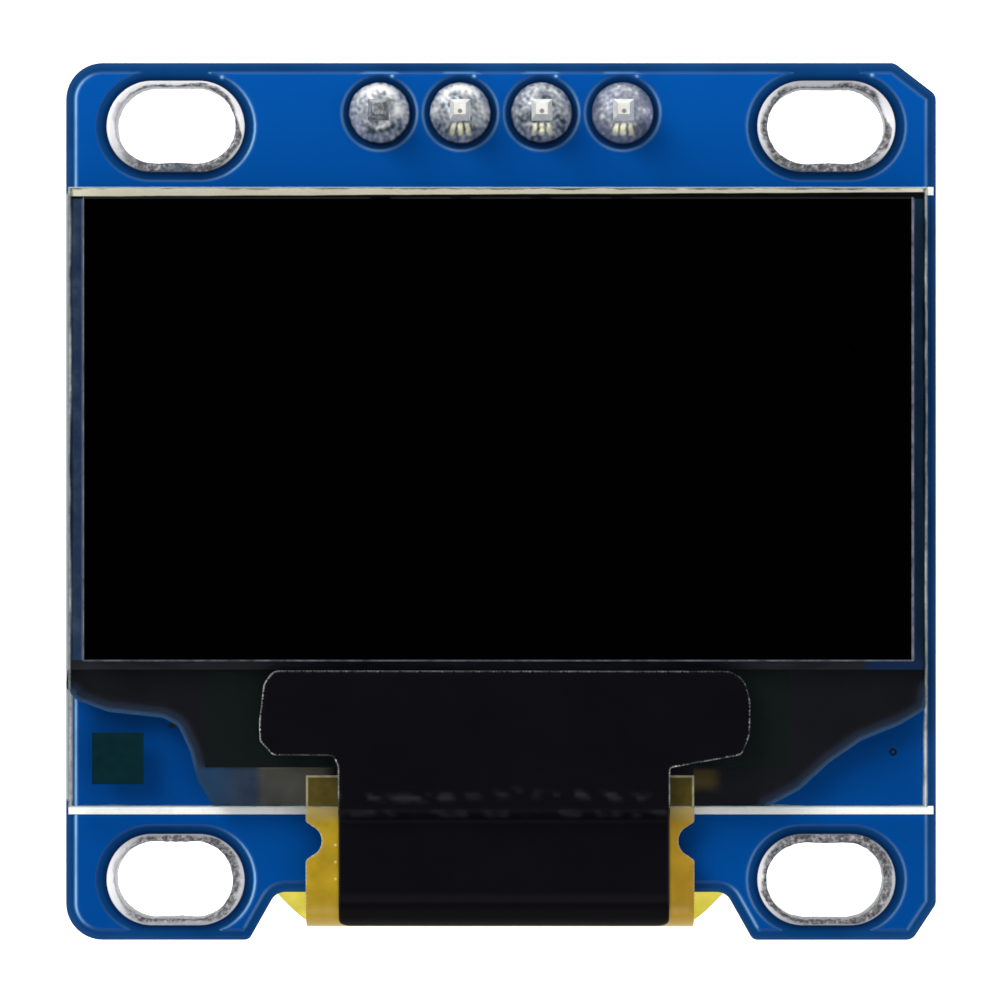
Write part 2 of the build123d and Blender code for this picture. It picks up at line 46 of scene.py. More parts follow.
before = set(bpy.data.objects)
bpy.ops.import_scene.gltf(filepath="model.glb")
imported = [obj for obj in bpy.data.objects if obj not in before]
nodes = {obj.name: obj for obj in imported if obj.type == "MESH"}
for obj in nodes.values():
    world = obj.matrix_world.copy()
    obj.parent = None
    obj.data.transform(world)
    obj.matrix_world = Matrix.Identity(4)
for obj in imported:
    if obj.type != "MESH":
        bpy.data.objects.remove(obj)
cad_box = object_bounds()

# Camera
image_px = 1000
board_face_z = 1.2
camera_height = 150.0
board_face_mm_per_px = 0.03133
aim_x = -0.031
aim_y = 0.094
sensor_width = 36.0


def photo_point(px, py, z):
    """The x and y, in mm, of what the camera sees at a place in the picture, at height z."""
    scale = board_face_mm_per_px * (1 - (z - board_face_z) / camera_height)
    return aim_x + (px - image_px / 2) * scale, aim_y + (image_px / 2 - py) * scale


camera = bpy.data.objects.new("camera", bpy.data.cameras.new("camera"))
bpy.context.scene.collection.objects.link(camera)
camera.location = Vector((aim_x, aim_y, board_face_z + camera_height)) * MM
camera.data.sensor_width = sensor_width
camera.data.lens = sensor_width * camera_height / (board_face_mm_per_px * image_px)
camera.data.clip_start = 0.005
camera.data.clip_end = 5.0
bpy.context.scene.camera = camera
bpy.context.scene.view_settings.view_transform = "Standard"


# Shader helpers: each adds its nodes to the tree that was started last

tree = None


def add(kind, inputs=None, **settings):
    """A node with its settings and inputs. An input is a value or another node's output."""
    node = tree.nodes.new(kind)
    for key, value in settings.items():
        setattr(node, key, value)
    for key, value in (inputs or {}).items():
        fill(node.inputs[key], value)
    return node


def fill(socket, value):
    """Links a socket to another node's output, or sets its value."""
    if isinstance(value, bpy.types.NodeSocket):
        tree.links.new(value, socket)
    elif socket.type == "RGBA":
        socket.default_value = (*linear(value), 1.0)
    else:
        socket.default_value = value


def material(recipe):
    """Turns a recipe, which gives the inputs of a Principled node, into a maker of materials by name.

    Names of inputs have underscores for spaces, and level stands for Specular IOR Level.
    """
    def make(name, *arguments, **choices):
        global tree
        made = bpy.data.materials.new(name)
        made.use_nodes = True
        tree = made.node_tree
        inputs = recipe(*arguments, **choices)
        for key, value in inputs.items():
            key = "Specular IOR Level" if key == "level" else key.replace("_", " ")
            fill(tree.nodes["Principled BSDF"].inputs[key], value)
        return made
    return make


def place():
    """Coordinates in the module's frame, in metres."""
    return add("ShaderNodeTexCoord").outputs["Object"]


def axis(letter):
    """One coordinate in the module's frame, in metres."""
    return add("ShaderNodeSeparateXYZ", {0: place()}).outputs[letter]


def upward():
    """How far a face points up, from -1 to 1, without smoothing."""
    normal = add("ShaderNodeNewGeometry").outputs["True Normal"]
    return add("ShaderNodeSeparateXYZ", {0: normal}).outputs["Z"]


def attribute(name):
    return add("ShaderNodeAttribute", attribute_name=name).outputs["Fac"]


def grain(scale, detail=4.0, roughness=0.55, stretch=None):
    """Noise with its size given per metre, drawn out along an axis where stretch says so."""
    vector = place()
    if stretch:
        vector = add("ShaderNodeMapping", {"Vector": vector, "Scale": stretch}).outputs[0]
    return add("ShaderNodeTexNoise", {
        "Vector": vector, "Scale": scale, "Detail": detail, "Roughness": roughness}).outputs["Fac"]


def ramp(factor, stops):
    """A colour ramp through stops given as position and colour."""
    node = add("ShaderNodeValToRGB", {"Fac": factor})
    elements = node.color_ramp.elements
    while len(elements) < len(stops):
        elements.new(0.5)
    for element, (position, colour) in zip(elements, stops):
        element.position = position
        element.color = (*linear(colour), 1.0)
    return node.outputs["Color"]


def mottled(values, low, high):
    """Two colours, mixed softly by noise."""
    return ramp(values, [(0.3, low), (0.7, high)])


def step(value, low, high):
    """Rises from 0 to 1 as a value goes from low to high."""
    return add("ShaderNodeMapRange", {"Value": value, "From Min": low, "From Max": high}).outputs["Result"]


def step_mm(value, low, high):
    """Rises from 0 to 1 as a length goes from low to high, in mm."""
    return step(value, low * MM, high * MM)


def blend(factor, a, b):
    """Mixes two colours."""
    return add("ShaderNodeMix", {0: factor, 6: a, 7: b}, data_type="RGBA").outputs[2]


def maths(operation, a, b=0.0):
    return add("ShaderNodeMath", {0: a, 1: b}, operation=operation).outputs[0]


def chained(operation):
    """A function that joins its values by one operation, from the left to the right."""
    def join(value, *others):
        for other in others:
            value = maths(operation, value, other)
        return value
    return join


plus, minus, times = chained("ADD"), chained("SUBTRACT"), chained("MULTIPLY")
higher, lower = chained("MAXIMUM"), chained("MINIMUM")


def unsigned(value):
    return maths("ABSOLUTE", value)


def swing(values, span):
    """Values from 0 to 1 turned into a span that is centred on zero."""
    return times(minus(values, 0.5), span)


def from_sides(box):
    """How far inside the left, right, top and foot of a box a point lies, in metres."""
    low, high = box
    x, y = axis("X"), axis("Y")
    return minus(x, low.x), minus(high.x, x), minus(high.y, y), minus(y, low.y)


def rounded_edges(radius):
    """A normal that rounds sharp edges by this radius, in metres."""
    return add("ShaderNodeBevel", {"Radius": radius}, samples=4).outputs["Normal"]


def bump(height, depth, normal=None):
    """A bump from a height of 0 to 1 that stands for this many metres."""
    node = add("ShaderNodeBump", {"Height": height, "Distance": depth})
    if normal:
        tree.links.new(normal, node.inputs["Normal"])
    return node.outputs["Normal"]


def linear(colour):
    """A linear triple, from a hex colour as seen on a screen, a linear grey or a linear triple."""
    if isinstance(colour, str):
        parts = [int(colour[k:k + 2], 16) / 255 for k in (1, 3, 5)]
        return tuple(v / 12.92 if v <= 0.04045 else ((v + 0.055) / 1.055) ** 2.4 for v in parts)
    return (colour,) * 3 if isinstance(colour, (int, float)) else colour


# Materials

@material
def lacquer():
    """Glossy blue lacquer: bright over copper, dark over bare laminate, with a painted highlight on the
    copper's lit edges and a painted reflection beside the glass.
    """
    mottle = grain(350, 3)
    y = axis("Y")
    front = blend(step_mm(y, -13, 13), "#004088", "#024ea2")
    copper = blend(times(mottle, 0.25), front, "#0660b6")
    bare = mottled(mottle, "#04366a", "#0c447e")
    colour = blend(attribute("copper"), bare, copper)
    colour = blend(attribute("shade"), colour, "#03183e")
    shine = times(attribute("shine"), ramp(grain(600, 3), [(0.3, 0.7), (0.55, 1.0)]))
    colour = blend(shine, colour, "#92ccff")
    # A pale strip on the lacquer by the glass's left edge: a painted reflection
    glass_side_reflection = times(step_mm(axis("X"), -13.40, -13.46), step_mm(y, 9.75, 9.65), step_mm(y, -9.35, -9.25))
    colour = blend(times(glass_side_reflection, 0.55), colour, "#ced4d0")
    slope = times(attribute("copper"), minus(1.0, attribute("copper")))
    soft = plus(times(step(slope, 0.005, 0.08), 0.5), 0.16)
    return dict(Base_Color=colour, Roughness=soft, Normal=bump(grain(3500, 2), 0.000001), level=0.2)


@material
def back_lacquer():
    """The same lacquer on the back, faintly mottled."""
    colour = mottled(grain(350, 3), "#00428c", "#0350a0")
    return dict(Base_Color=colour, Roughness=0.2, Normal=bump(grain(3500, 2), 0.0000012), level=0.4)


@material
def laminate():
    """Sawn glass-fibre board: pale layers of weave with stray fibres."""
    streaks = grain(1.0, 5, stretch=(1200, 1200, 14000))
    colour = ramp(streaks, [(0.3, "#78765c"), (0.55, "#b0aa88"), (0.75, "#d6d0b8")])
    return dict(Base_Color=colour, Roughness=0.75, Normal=bump(streaks, 0.00003))


@material
def ink(colour, worn):
    """Printing ink, a little uneven in its cover."""
    cover = ramp(grain(4000, 5, 0.7), [(0.25, worn), (0.5, colour)])
    return dict(Base_Color=cover, Roughness=0.55, Normal=bump(grain(9000), 0.000005))


@material
def metal(colour, dark, roughness=0.3, size=2500, depth=0.00001):
    """Tin or solder: bright metal with uneven grain."""
    cells = grain(size, 6, 0.6)
    shade = ramp(cells, [(0.35, dark), (0.6, colour)])
    dull = ramp(grain(size * 2), [(0.3, roughness * 0.7), (0.7, roughness * 1.4)])
    return dict(Base_Color=shade, Metallic=0.9, Roughness=dull,
                Normal=bump(cells, depth, rounded_edges(0.00003)))


@material
def ring_tin():
    """Tinned ring: white and smooth on its face, dimmed by painted shade on some sides, dark and grainy where
    it turns into the hole.
    """
    grains = grain(7000, 5, 0.72)
    rough = ramp(grains, [(0.36, "#2e2e32"), (0.5, "#68686c"), (0.66, "#b8b8bd")])
    shaded_tin = ramp(grains, [(0.36, "#303c4e"), (0.62, "#66707e")])
    # Painted shade: by the side attribute the white face turns a dusky grey on some sides of each slot
    face = blend(attribute("side"), "#fafafd", shaded_tin)
    colour = blend(attribute("lip"), face, rough)
    colour = blend(attribute("rim"), colour, "#465470")
    return dict(Base_Color=colour, Metallic=0.25, Roughness=0.5, Normal=bump(grains, 0.000012))


@material
def panel_glass(box):
    """Clear glass, frosted and chipped along its ground edges."""
    chips = grain(1500, 6, 0.72)
    wander = swing(grain(1.0, 5, 0.6, stretch=(900, 260, 900)), 0.22 * MM)
    left, right, top, foot = (minus(gap, wander) for gap in from_sides(box))
    dashes = ramp(grain(1.0, 4, stretch=(260, 900, 900)), [(0.46, 0.0), (0.52, 1.0)])
    side = step(unsigned(upward()), 0.95, 0.8)
    frost = higher(times(step_mm(left, 0.13, 0.02), 0.95), times(step_mm(right, 0.13, 0.05), 0.85),
                   times(step_mm(foot, 0.04, 0.02), 0.4), times(dashes, step_mm(top, 0.04, 0.02)), side)
    pale = ramp(chips, [(0.34, "#788082"), (0.5, "#c8ccca"), (0.66, "#f4f5f1")])
    # Along the top edge the frosted colour is dark, in dashes: the chipped edge and its painted shadow
    pale = blend(step_mm(top, 0.1, 0.06), pale, "#1a2226")
    ground = ramp(chips, [(0.36, "#465a5a"), (0.64, "#96a8a5")])
    pale = blend(side, pale, ground)
    return dict(Base_Color=blend(frost, "#0a1828", pale), Alpha=blend(side, blend(frost, 0.05, 0.92), 0.42),
                Roughness=blend(frost, 0.03, 0.6), level=0.5, IOR=1.52)


@material
def clear_glass(tint, alpha, rim, rim_alpha):
    """Clear glass without refraction. Its cut edges are frosted."""
    face = step(unsigned(upward()), 0.9, 0.98)
    chips = grain(1500, 6, 0.7)
    frosted = ramp(chips, [(0.35, tuple(c * 0.35 for c in rim)), (0.6, rim)])
    cover = blend(face, ramp(chips, [(0.35, rim_alpha * 0.4), (0.6, rim_alpha)]), alpha)
    return dict(Base_Color=blend(face, frosted, tint), Alpha=cover,
                Roughness=blend(face, 0.6, 0.03), level=0.5, IOR=1.52)


@material
def seal():
    """Resin between the two glasses: blue-grey at the sides, cream along the top with a faint painted glow,
    streaked at the foot.
    """
    x, y = axis("X"), axis("Y")
    mottle = grain(900, 5, 0.65)
    left = ramp(mottle, [(0.3, "#243c60"), (0.5, "#324866"), (0.72, "#526278")])
    right = mottled(mottle, "#0a2c48", "#1c3c54")
    colour = blend(step_mm(x, -1, 1), left, right)
    edge = unsigned(plus(x, 0.09 * MM))
    colour = blend(step_mm(edge, 13.01, 12.95), colour, "#707296")
    streaks = ramp(grain(1.0, 4, stretch=(140, 900, 900)), [(0.44, "#101213"), (0.56, "#2c2e2f")])
    streaks = blend(step_mm(x, 11.2, 11.6), streaks, "#183662")
    colour = blend(step_mm(y, -4.86, -4.92), colour, streaks)
    wobble = swing(grain(1.0, 3, stretch=(400, 1, 1)), 0.05 * MM)
    slant = plus(times(x, -0.005), plus(y, wobble))
    cream = mottled(mottle, "#f6f2d6", "#fefbe2")
    under = step_mm(y, 9.475, 9.49)
    colour = blend(under, colour, "#050607")
    lit = times(under, step_mm(slant, 9.615, 9.64))
    colour = blend(lit, colour, cream)
    # Painted light: the cream strip glows a little
    return dict(Base_Color=colour, Roughness=0.5, Emission_Color=cream,
                Emission_Strength=times(lit, 0.12), level=0.1)


@material
def plain(colour, second, roughness, level=0.4):
    """A moulded or coated surface with fine variation."""
    speckle = grain(3000, 5)
    return dict(Base_Color=ramp(speckle, [(0.3, colour), (0.75, second)]), Roughness=roughness,
                Normal=bump(speckle, 0.000005, rounded_edges(0.00003)), level=level)


@material
def film(box):
    """Black polarizing film. Its cut edges are pale at the left, the right and the foot."""
    left, right, _, foot = from_sides(box)
    face = ramp(grain(400, 3), [(0.3, 0.0001), (0.8, 0.0003)])
    rough = grain(1800, 5, 0.7)
    edge = ramp(rough, [(0.35, "#3c4254"), (0.65, "#888ea0")])
    pale = higher(step_mm(left, 0.035, 0.01), step_mm(right, 0.09, 0.05),
                  times(step_mm(foot, 0.06, 0.03), 0.7))
    return dict(Base_Color=blend(pale, face, edge), Roughness=0.1, level=0.06, IOR=1.45)


@material
def bond_film(box):
    """The flex's head seen through the glass: olive, with a pale rounded border."""
    left, right, top, _ = from_sides(box)
    speckle = grain(3000, 5)
    face = mottled(speckle, "#4c4214", "#5c501c")
    edge = mottled(speckle, "#8c8464", "#b8b090")
    rim = step_mm(lower(left, right, top), 0.075, 0.055)
    return dict(Base_Color=blend(rim, face, edge), Roughness=0.5, level=0.1)


@material
def pin_metal():
    """Tinned pins: white at their cut ends, with a small dark pit, duller where solder covers them."""
    x, y, z = axis("X"), axis("Y"), axis("Z")
    cells = grain(3500, 5, 0.65)
    shade = ramp(cells, [(0.3, "#dedcd4"), (0.6, "#fafaf6")])
    column = minus(maths("MODULO", plus(x, 8 * pin_pitch), pin_pitch), pin_pitch / 2)
    row = minus(y, pin_row - 0.08 * MM)
    away = maths("SQRT", plus(maths("POWER", row, 2.0), maths("POWER", column, 2.0)))
    pit = times(step_mm(away, 0.09, 0.05), step_mm(z, 2.9, 2.95), 0.75)
    shade = blend(pit, shade, "#3c3e42")
    covered = times(step_mm(x, -2.5, -2.6), step_mm(z, 1.2, 1.3))
    dull = ramp(cells, [(0.38, "#606468"), (0.6, "#b6b8b8")])
    shade = blend(covered, shade, dull)
    return dict(Base_Color=shade, Metallic=0.4, Roughness=0.45,
                Normal=bump(cells, 0.00001, rounded_edges(0.00004)))


@material
def chip_ends(body, body_dark, *rows):
    """A chip part: its body between two tinned ends. rows gives the y of each row of them, in metres."""
    y = axis("Y")
    speckle = grain(3000, 4)
    bare = mottled(speckle, body, body_dark)
    past_body = lower(*(minus(unsigned(minus(y, row)), chip_body_half) for row in rows))
    tinned = step_mm(past_body, -0.005, 0.005)
    tin = ramp(speckle, [(0.3, 0.5), (0.7, (0.75, 0.75, 0.74))])
    return dict(Base_Color=blend(tinned, bare, tin), Metallic=times(tinned, 0.8),
                Roughness=0.4, Normal=bump(speckle, 0.000004, rounded_edges(0.00004)))


def middle(name):
    """The x, y and z of the middle of a node's box, in metres."""
    return np.add(*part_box(name)) / 2


pin_pitch = 2.54 * MM
pin_row = middle("header_pin_1")[1]
chip_body_half = 0.5 * MM
capacitor_rows = middle("capacitor_1")[1], middle("regulator_body")[1]
mask_blue = lacquer("blue_lacquer")
tin_ring = ring_tin("tin_ring")
finish = {
    "board_core": laminate("laminate"),
    "front_mask": mask_blue,
    "back_mask": back_lacquer("blue_back_lacquer"),
    "front_silkscreen": ink("front_ink", "#fafcf8", "#ecf0e9"),
    "back_silkscreen": ink("back_ink", "#eef0ec", "#cdd2cd"),
    "slot_plating": tin_ring,
    "header_pin": pin_metal("pin_tin"),
    "solder_joint": metal("solder", (0.88, 0.88, 0.9), (0.6, 0.62, 0.65), 0.25, 1800, 0.00002),
    "header_block": plain("header_plastic", (0.012, 0.012, 0.013), (0.02, 0.02, 0.021), 0.45),
    "mounting_tape": plain("tape_foam", (0.012, 0.012, 0.013), 0.03, 0.8),
    "cap_glass": clear_glass("cap_glass", "#061424", 0.12, (0.20, 0.28, 0.29), 0.45),
    "substrate_glass": panel_glass("substrate_glass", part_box("substrate_glass")),
    "desiccant_sheet": plain("desiccant", (0.75, 0.74, 0.70), (0.85, 0.84, 0.8), 0.8),
    "edge_seal": seal("edge_seal"),
    "pixel_layer": metal("pixel_backing", (0.3, 0.31, 0.33), (0.25, 0.26, 0.28), 0.15),
    "polarizer": film("polarizer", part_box("polarizer")),
    "ledge_traces": plain("traces", "#0c1816", "#141614", 0.3, level=0.1),
    "driver_chip": plain("silicon", (0.01, 0.01, 0.012), (0.02, 0.02, 0.022), 0.2),
    "flex_bond": bond_film("flex_bond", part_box("flex_bond")),
    "test_patch": plain("test_metal", "#022228", "#052c30", 0.5, level=0.05),
    "ledge_sealant": plain("sealant", "#121318", "#1c1e24", 0.35),
    "flex_circuit": plain("flex_film", "#be9b26", "#d0ae32", 0.3),
    "flex_leads": metal("lead_tin", (0.8, 0.79, 0.76), (0.6, 0.6, 0.58)),
    "lead_solder": metal("lead_solder", (0.8, 0.8, 0.82), (0.5, 0.5, 0.52), 0.2),
    "shield_tape": plain("shield_tape", "#0e0d12", "#141318", 0.4),
    "regulator_pads": metal("pad_tin", 0.8, 0.6),
    "chip_solder": metal("chip_solder", (0.8, 0.8, 0.82), (0.5, 0.5, 0.52), 0.2),
    "regulator_body": plain("moulding", (0.010, 0.010, 0.011), (0.02, 0.02, 0.021), 0.5),
    "regulator_leads": metal("regulator_tin", (0.8, 0.79, 0.77), (0.6, 0.6, 0.58)),
    "capacitor": chip_ends("ceramic", (0.30, 0.19, 0.10), (0.36, 0.24, 0.13), *capacitor_rows),
    "resistor": chip_ends("resistor_glaze", (0.012, 0.012, 0.013), 0.02, middle("resistor_1")[1]),
}
for name, node in nodes.items():
    base = name if name in finish else name.rsplit("_", 1)[0]
    node.data.materials.clear()
    node.data.materials.append(finish[base])


# Mesh helpers

def piece(name, points, faces, materials, replaces, which=None, attributes=None, sharp=None):
    """A new piece of the module, from points in mm. which gives each face's material.

    Edges sharper than sharp degrees stay unsmoothed.
    """
    mesh = bpy.data.meshes.new(name)
    mesh.from_pydata([tuple(float(c) * MM for c in point) for point in points], [], faces)
    for look in materials:
        mesh.materials.append(look)
    if which is not None:
        mesh.polygons.foreach_set("material_index", np.array(which, dtype=np.int32))
    mesh.polygons.foreach_set("use_smooth", np.ones(len(mesh.polygons), dtype=bool))
    for key, values in (attributes or {}).items():
        layer = mesh.attributes.new(key, "FLOAT", "POINT")
        layer.data.foreach_set("value", np.array(values, dtype=np.float32))
    made = bpy.data.objects.new(name, mesh)
    bpy.context.scene.collection.objects.link(made)
    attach(made, "root")
    if replaces:
        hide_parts(replaces)
    if sharp:
        mesh.set_sharp_from_angle(angle=math.radians(sharp))


def grid_faces(rows, columns):
    """Quads between neighbouring rows of points, each of which is a closed ring."""
    faces = []
    for i in range(rows - 1):
        for j in range(columns):
            k = (j + 1) % columns
            faces.append((i * columns + j, i * columns + k, (i + 1) * columns + k, (i + 1) * columns + j))
    return faces


def rounded(corners, per_corner=8):
    """A closed outline through corners given as x, y and rounding, as an array of points."""
    points = []
    count = len(corners)
    for i, (x, y, radius) in enumerate(corners):
        here = Vector((x, y))
        before = Vector(corners[i - 1][:2]) - here
        after = Vector(corners[(i + 1) % count][:2]) - here
        angle = before.angle(after)
        if radius <= 0 or angle > math.pi - 0.01:
            points.append((x, y))
            continue
        reach = min(radius / math.tan(angle / 2), before.length * 0.49, after.length * 0.49)
        radius = reach * math.tan(angle / 2)
        before.normalize()
        after.normalize()
        centre = here + (before + after).normalized() * (radius / math.sin(angle / 2))
        start = here + before * reach - centre
        end = here + after * reach - centre
        turn = start.angle_signed(end)
        for k in range(per_corner + 1):
            part = start.copy()
            part.rotate(Matrix.Rotation(-turn * k / per_corner, 2))
            points.append(tuple(centre + part))
    return np.array(points)


def spread(outline, gap):
    """The outline with points added so that none are further apart than gap."""
    out = []
    for a, b in zip(outline, np.roll(outline, -1, axis=0)):
        parts = max(1, int(np.ceil(np.linalg.norm(b - a) / gap)))
        out += [a + (b - a) * k / parts for k in range(parts)]
    return np.array(out)


def inset(outline, amount):
    """The outline moved inwards along its normals. It runs anticlockwise."""
    along = np.roll(outline, -1, axis=0) - np.roll(outline, 1, axis=0)
    along /= np.linalg.norm(along, axis=1)[:, None]
    inward = np.stack([-along[:, 1], along[:, 0]], axis=1)
    return outline + inward * np.asarray(amount).reshape(-1, 1)


def anticlockwise(outline):
    x, y = outline[:, 0], outline[:, 1]
    area = np.sum(x * np.roll(y, -1) - np.roll(x, -1) * y)
    return outline if area > 0 else outline[::-1]


def inside(points, outline):
    """Which points lie inside a closed outline."""
    x, y = points[:, 0][:, None], points[:, 1][:, None]
    ax, ay = outline[:, 0], outline[:, 1]
    bx, by = np.roll(ax, -1), np.roll(ay, -1)
    crosses = (ay > y) != (by > y)
    with np.errstate(divide="ignore", invalid="ignore"):
        at = ax + (y - ay) * (bx - ax) / (by - ay)
    return (np.sum(crosses & (x < at), axis=1) % 2) == 1


def nearest(points, outline, closed=True):
    """How far each point is from an outline, and the way from the point to it."""
    best = np.full(len(points), 1e9)
    way = np.zeros((len(points), 2))
    for p, q in zip(outline, np.roll(outline, -1, axis=0) if closed else outline[1:]):
        d = q - p
        t = np.clip(((points - p) @ d) / (float(d @ d) or 1e-12), 0, 1)
        to = p + t[:, None] * d - points
        length = np.linalg.norm(to, axis=1)
        closer = length < best
        best[closer] = length[closer]
        way[closer] = to[closer]
    return best, way


def distance(points, outline, closed=True):
    return nearest(points, outline, closed)[0]


def filled(outline, spacing, loops=(), holes=()):
    """Triangles that fill an outline evenly. loops and holes are outlines that the triangles follow."""
    outline = anticlockwise(outline)
    points, edges, start = [outline, *loops, *holes], [], 0
    for loop in points:
        edges += [(start + i, start + (i + 1) % len(loop)) for i in range(len(loop))]
        start += len(loop)
    low, high = outline.min(0), outline.max(0)
    xs = np.arange(low[0], high[0], spacing)
    ys = np.arange(low[1], high[1], spacing)
    field = np.array([(x + (spacing / 2 if j % 2 else 0), y) for j, y in enumerate(ys) for x in xs])
    keep = inside(field, outline)
    for loop in points:
        keep &= distance(field, loop) > spacing * 0.45
    for hole in holes:
        keep &= ~inside(field, hole)
    points.append(field[keep])
    every = np.concatenate(points)
    result = geometry.delaunay_2d_cdt([Vector(p) for p in every], edges, [], 0, 1e-6)
    flat = np.array([tuple(v) for v in result[0]])
    triangles = np.array([f for f in result[2] if len(f) == 3])
    centres = flat[triangles].mean(axis=1)
    wanted = inside(centres, outline)
    for hole in holes:
        wanted &= ~inside(centres, hole)
    triangles = triangles[wanted]
    a, b, c = (flat[triangles[:, i]] for i in range(3))
    turned = ((b - a)[:, 0] * (c - a)[:, 1] - (b - a)[:, 1] * (c - a)[:, 0]) < 0
    triangles[turned] = triangles[turned][:, ::-1]
    return flat, triangles


def lift(points, size, height, seed=0.0):
    """Smooth noise at each point, from minus height to height, with features of this size."""
    return np.array([noise.noise(Vector((x / size, y / size, seed))) for x, y in points]) * height * 2


def borders(mesh, wanted):
    """The closed borders of the faces that wanted picks, as arrays of x and y in mm."""
    shape = bmesh.new()
    shape.from_mesh(mesh)
    bmesh.ops.remove_doubles(shape, verts=shape.verts, dist=0.0005 * MM)
    shape.normal_update()
    chosen = [face for face in shape.faces if wanted(face)]
    picked = set(chosen)
    after = {}
    for face in chosen:
        for loop in face.loops:
            if sum(other in picked for other in loop.edge.link_faces) == 1:
                after[loop.vert] = loop.link_loop_next.vert
    found = []
    while after:
        here, there = after.popitem()
        points = [here.co.xy / MM]
        while there in after:
            points.append(there.co.xy / MM)
            there = after.pop(there)
        found.append(np.array([tuple(p) for p in points]))
    shape.free()
    return sorted(found, key=len, reverse=True)


def two_sided(triangles, tops, unders, values):
    """Points, faces and attributes of a sheet that is closed by its underside and its walls."""
    count = len(tops)
    faces = [tuple(int(k) for k in t) for t in triangles]
    edges = {(a, b) for t in faces for a, b in ((t[0], t[1]), (t[1], t[2]), (t[2], t[0]))}
    walls = [(b, a, a + count, b + count) for a, b in sorted(edges) if (b, a) not in edges]
    faces += [(a + count, c + count, b + count) for a, b, c in faces] + walls
    return tops + unders, faces, {key: np.concatenate([made, made]) for key, made in values.items()}


# Plated slots: a bright flat ring whose inner edge turns over a grainy lip into the hole

slot_length = 3.8
slot_width = 2.55
ring_end = 0.27
ring_side = 0.16
# The ring's section: how far from the hole (0) to the ring's outside (1), and the height in mm
ring_profile = [
    (1.0, 1.14), (1.0, 1.172), (0.96, 1.184), (0.88, 1.189), (0.7, 1.19), (0.55, 1.189), (0.42, 1.182),
    (0.3, 1.169), (0.2, 1.156), (0.12, 1.144), (0.05, 1.10), (0.01, 1.03), (0.0, 0.96), (0.0, 0.8),
    (0.0, board_face_z / 2),
]
ring_profile += [(u, board_face_z - z) for u, z in reversed(ring_profile[:-1])]


def stadium(length, width, per_end=44, per_side=14):
    """Points round a slot, anticlockwise from the lower right end of its straight side."""
    radius = width / 2
    half = length / 2 - radius
    points = []
    for side in (1, -1):
        for k in range(per_end + 1):
            angle = math.radians(-90 + 180 * k / per_end) + (0 if side > 0 else math.pi)
            points.append((side * half + radius * math.cos(angle), radius * math.sin(angle)))
        for k in range(1, per_side):
            points.append((side * half * (1 - 2 * k / per_side), side * radius))
    return np.array(points)


def circle(x, y, radius, parts=72):
    turn = np.linspace(0, 2 * math.pi, parts, endpoint=False)
    return np.stack([x + radius * np.cos(turn), y + radius * np.sin(turn)], axis=1)


# For each slot, at its top, right, foot and left: how far the lip reaches into the hole in mm,
# how much wider it is than the others, and how much painted shade dims the ring's face
ring_looks = [
    ((0.02, 0.03, 0.15, 0.03), (0.10, 0.10, 0.30, -0.10), (0.20, 0.10, 1.00, 0.00)),
    ((0.07, 0.05, 0.13, 0.06), (0.20, 0.00, 0.34, 0.10), (0.60, 0.00, 1.00, 0.15)),
    ((0.10, 0.12, 0.05, 0.01), (0.34, 0.36, 0.20, 0.00), (0.70, 0.45, 0.70, 0.00)),
    ((0.15, 0.09, 0.03, 0.03), (0.40, 0.42, 0.24, 0.10), (0.90, 0.50, 0.75, 0.10)),
]


def clamped(value):
    return min(1.0, max(0.0, value))


def uneven(x, y, z=0.0):
    """Smooth noise from about -1 to 1 at a point."""
    return noise.noise(Vector((x, y, z)))


def by_side(amounts, across, up):
    """One of four amounts for top, right, foot and left, running softly from one to the next round a slot."""
    over, right, under, left = amounts
    return (over if up > 0 else under) * up ** 2 + (right if across > 0 else left) * (1 - up ** 2)


slot_centres = [middle(f"slot_plating_{i}")[:2] / MM for i in range(1, 5)]
hole_points = stadium(slot_length, slot_width)
ring_points = stadium(slot_length + 2 * ring_end, slot_width + 2 * ring_side)
left_slots = (1, 3)
lip_starts = 0.52
grain_ends = 0.42
rim_starts = 0.93


def plated_slot(i, centre, lip_reach, lip_width, ring_shade):
    """Attributes: lip is how grainy and dark the ring is, less so under a painted highlight at the left end
    of the left slots, side how much painted shade dims the face, rim how dark at its outside.
    """
    points, lips, face_shades, rims = [], [], [], []
    for u, z in ring_profile:
        lip = clamped((lip_starts - u) / 0.2)
        upper = z > board_face_z / 2
        for hole, ring in zip(hole_points, ring_points):
            x, y = flat = hole * (1 - u) + ring * u
            normal = np.array(Vector(ring - hole).normalized())
            across, up = hole[0], hole[1] / (slot_width / 2)
            rough = uneven(x * 4.5 + i * 9, y * 4.5, z * 3) * 0.03
            rough += uneven(x * 14 + i * 5, y * 14, z * 9) * 0.012
            moved = centre + (flat + normal * (min(0.0, rough) - by_side(lip_reach, across, up)) * lip)
            points.append((*moved, z - abs(rough) * lip * 0.3 * (1 if upper else -1)))
            ragged = uneven(x * 1.1 + i * 7, y * 1.1) * 0.5 + uneven(x * 6 + i * 7, y * 6) * 0.15
            ragged += by_side(lip_width, across, up)
            # Painted highlight: the left ends of the left slots stay white and smooth
            bright_left = 0.55 * clamped(-across * 1.6 - 1.6) if i in left_slots else 0.0
            bright_wall = 0.5 * clamped((0.98 - z) / 0.2) if upper else 0.5
            lips.append(clamped((grain_ends + ragged - u) / 0.12) * (1 - max(bright_left, bright_wall)))
            face_shades.append(by_side(ring_shade, across, up))
            rims.append(clamped((u - rim_starts) / 0.05) * 0.8)
    piece(f"plated_slot_{i}", points, grid_faces(len(ring_profile), len(hole_points)), [tin_ring],
          f"slot_plating_{i}", attributes={"lip": lips, "side": face_shades, "rim": rims})


for i, looks in enumerate(ring_looks, 1):
    plated_slot(i, slot_centres[i - 1], *looks)
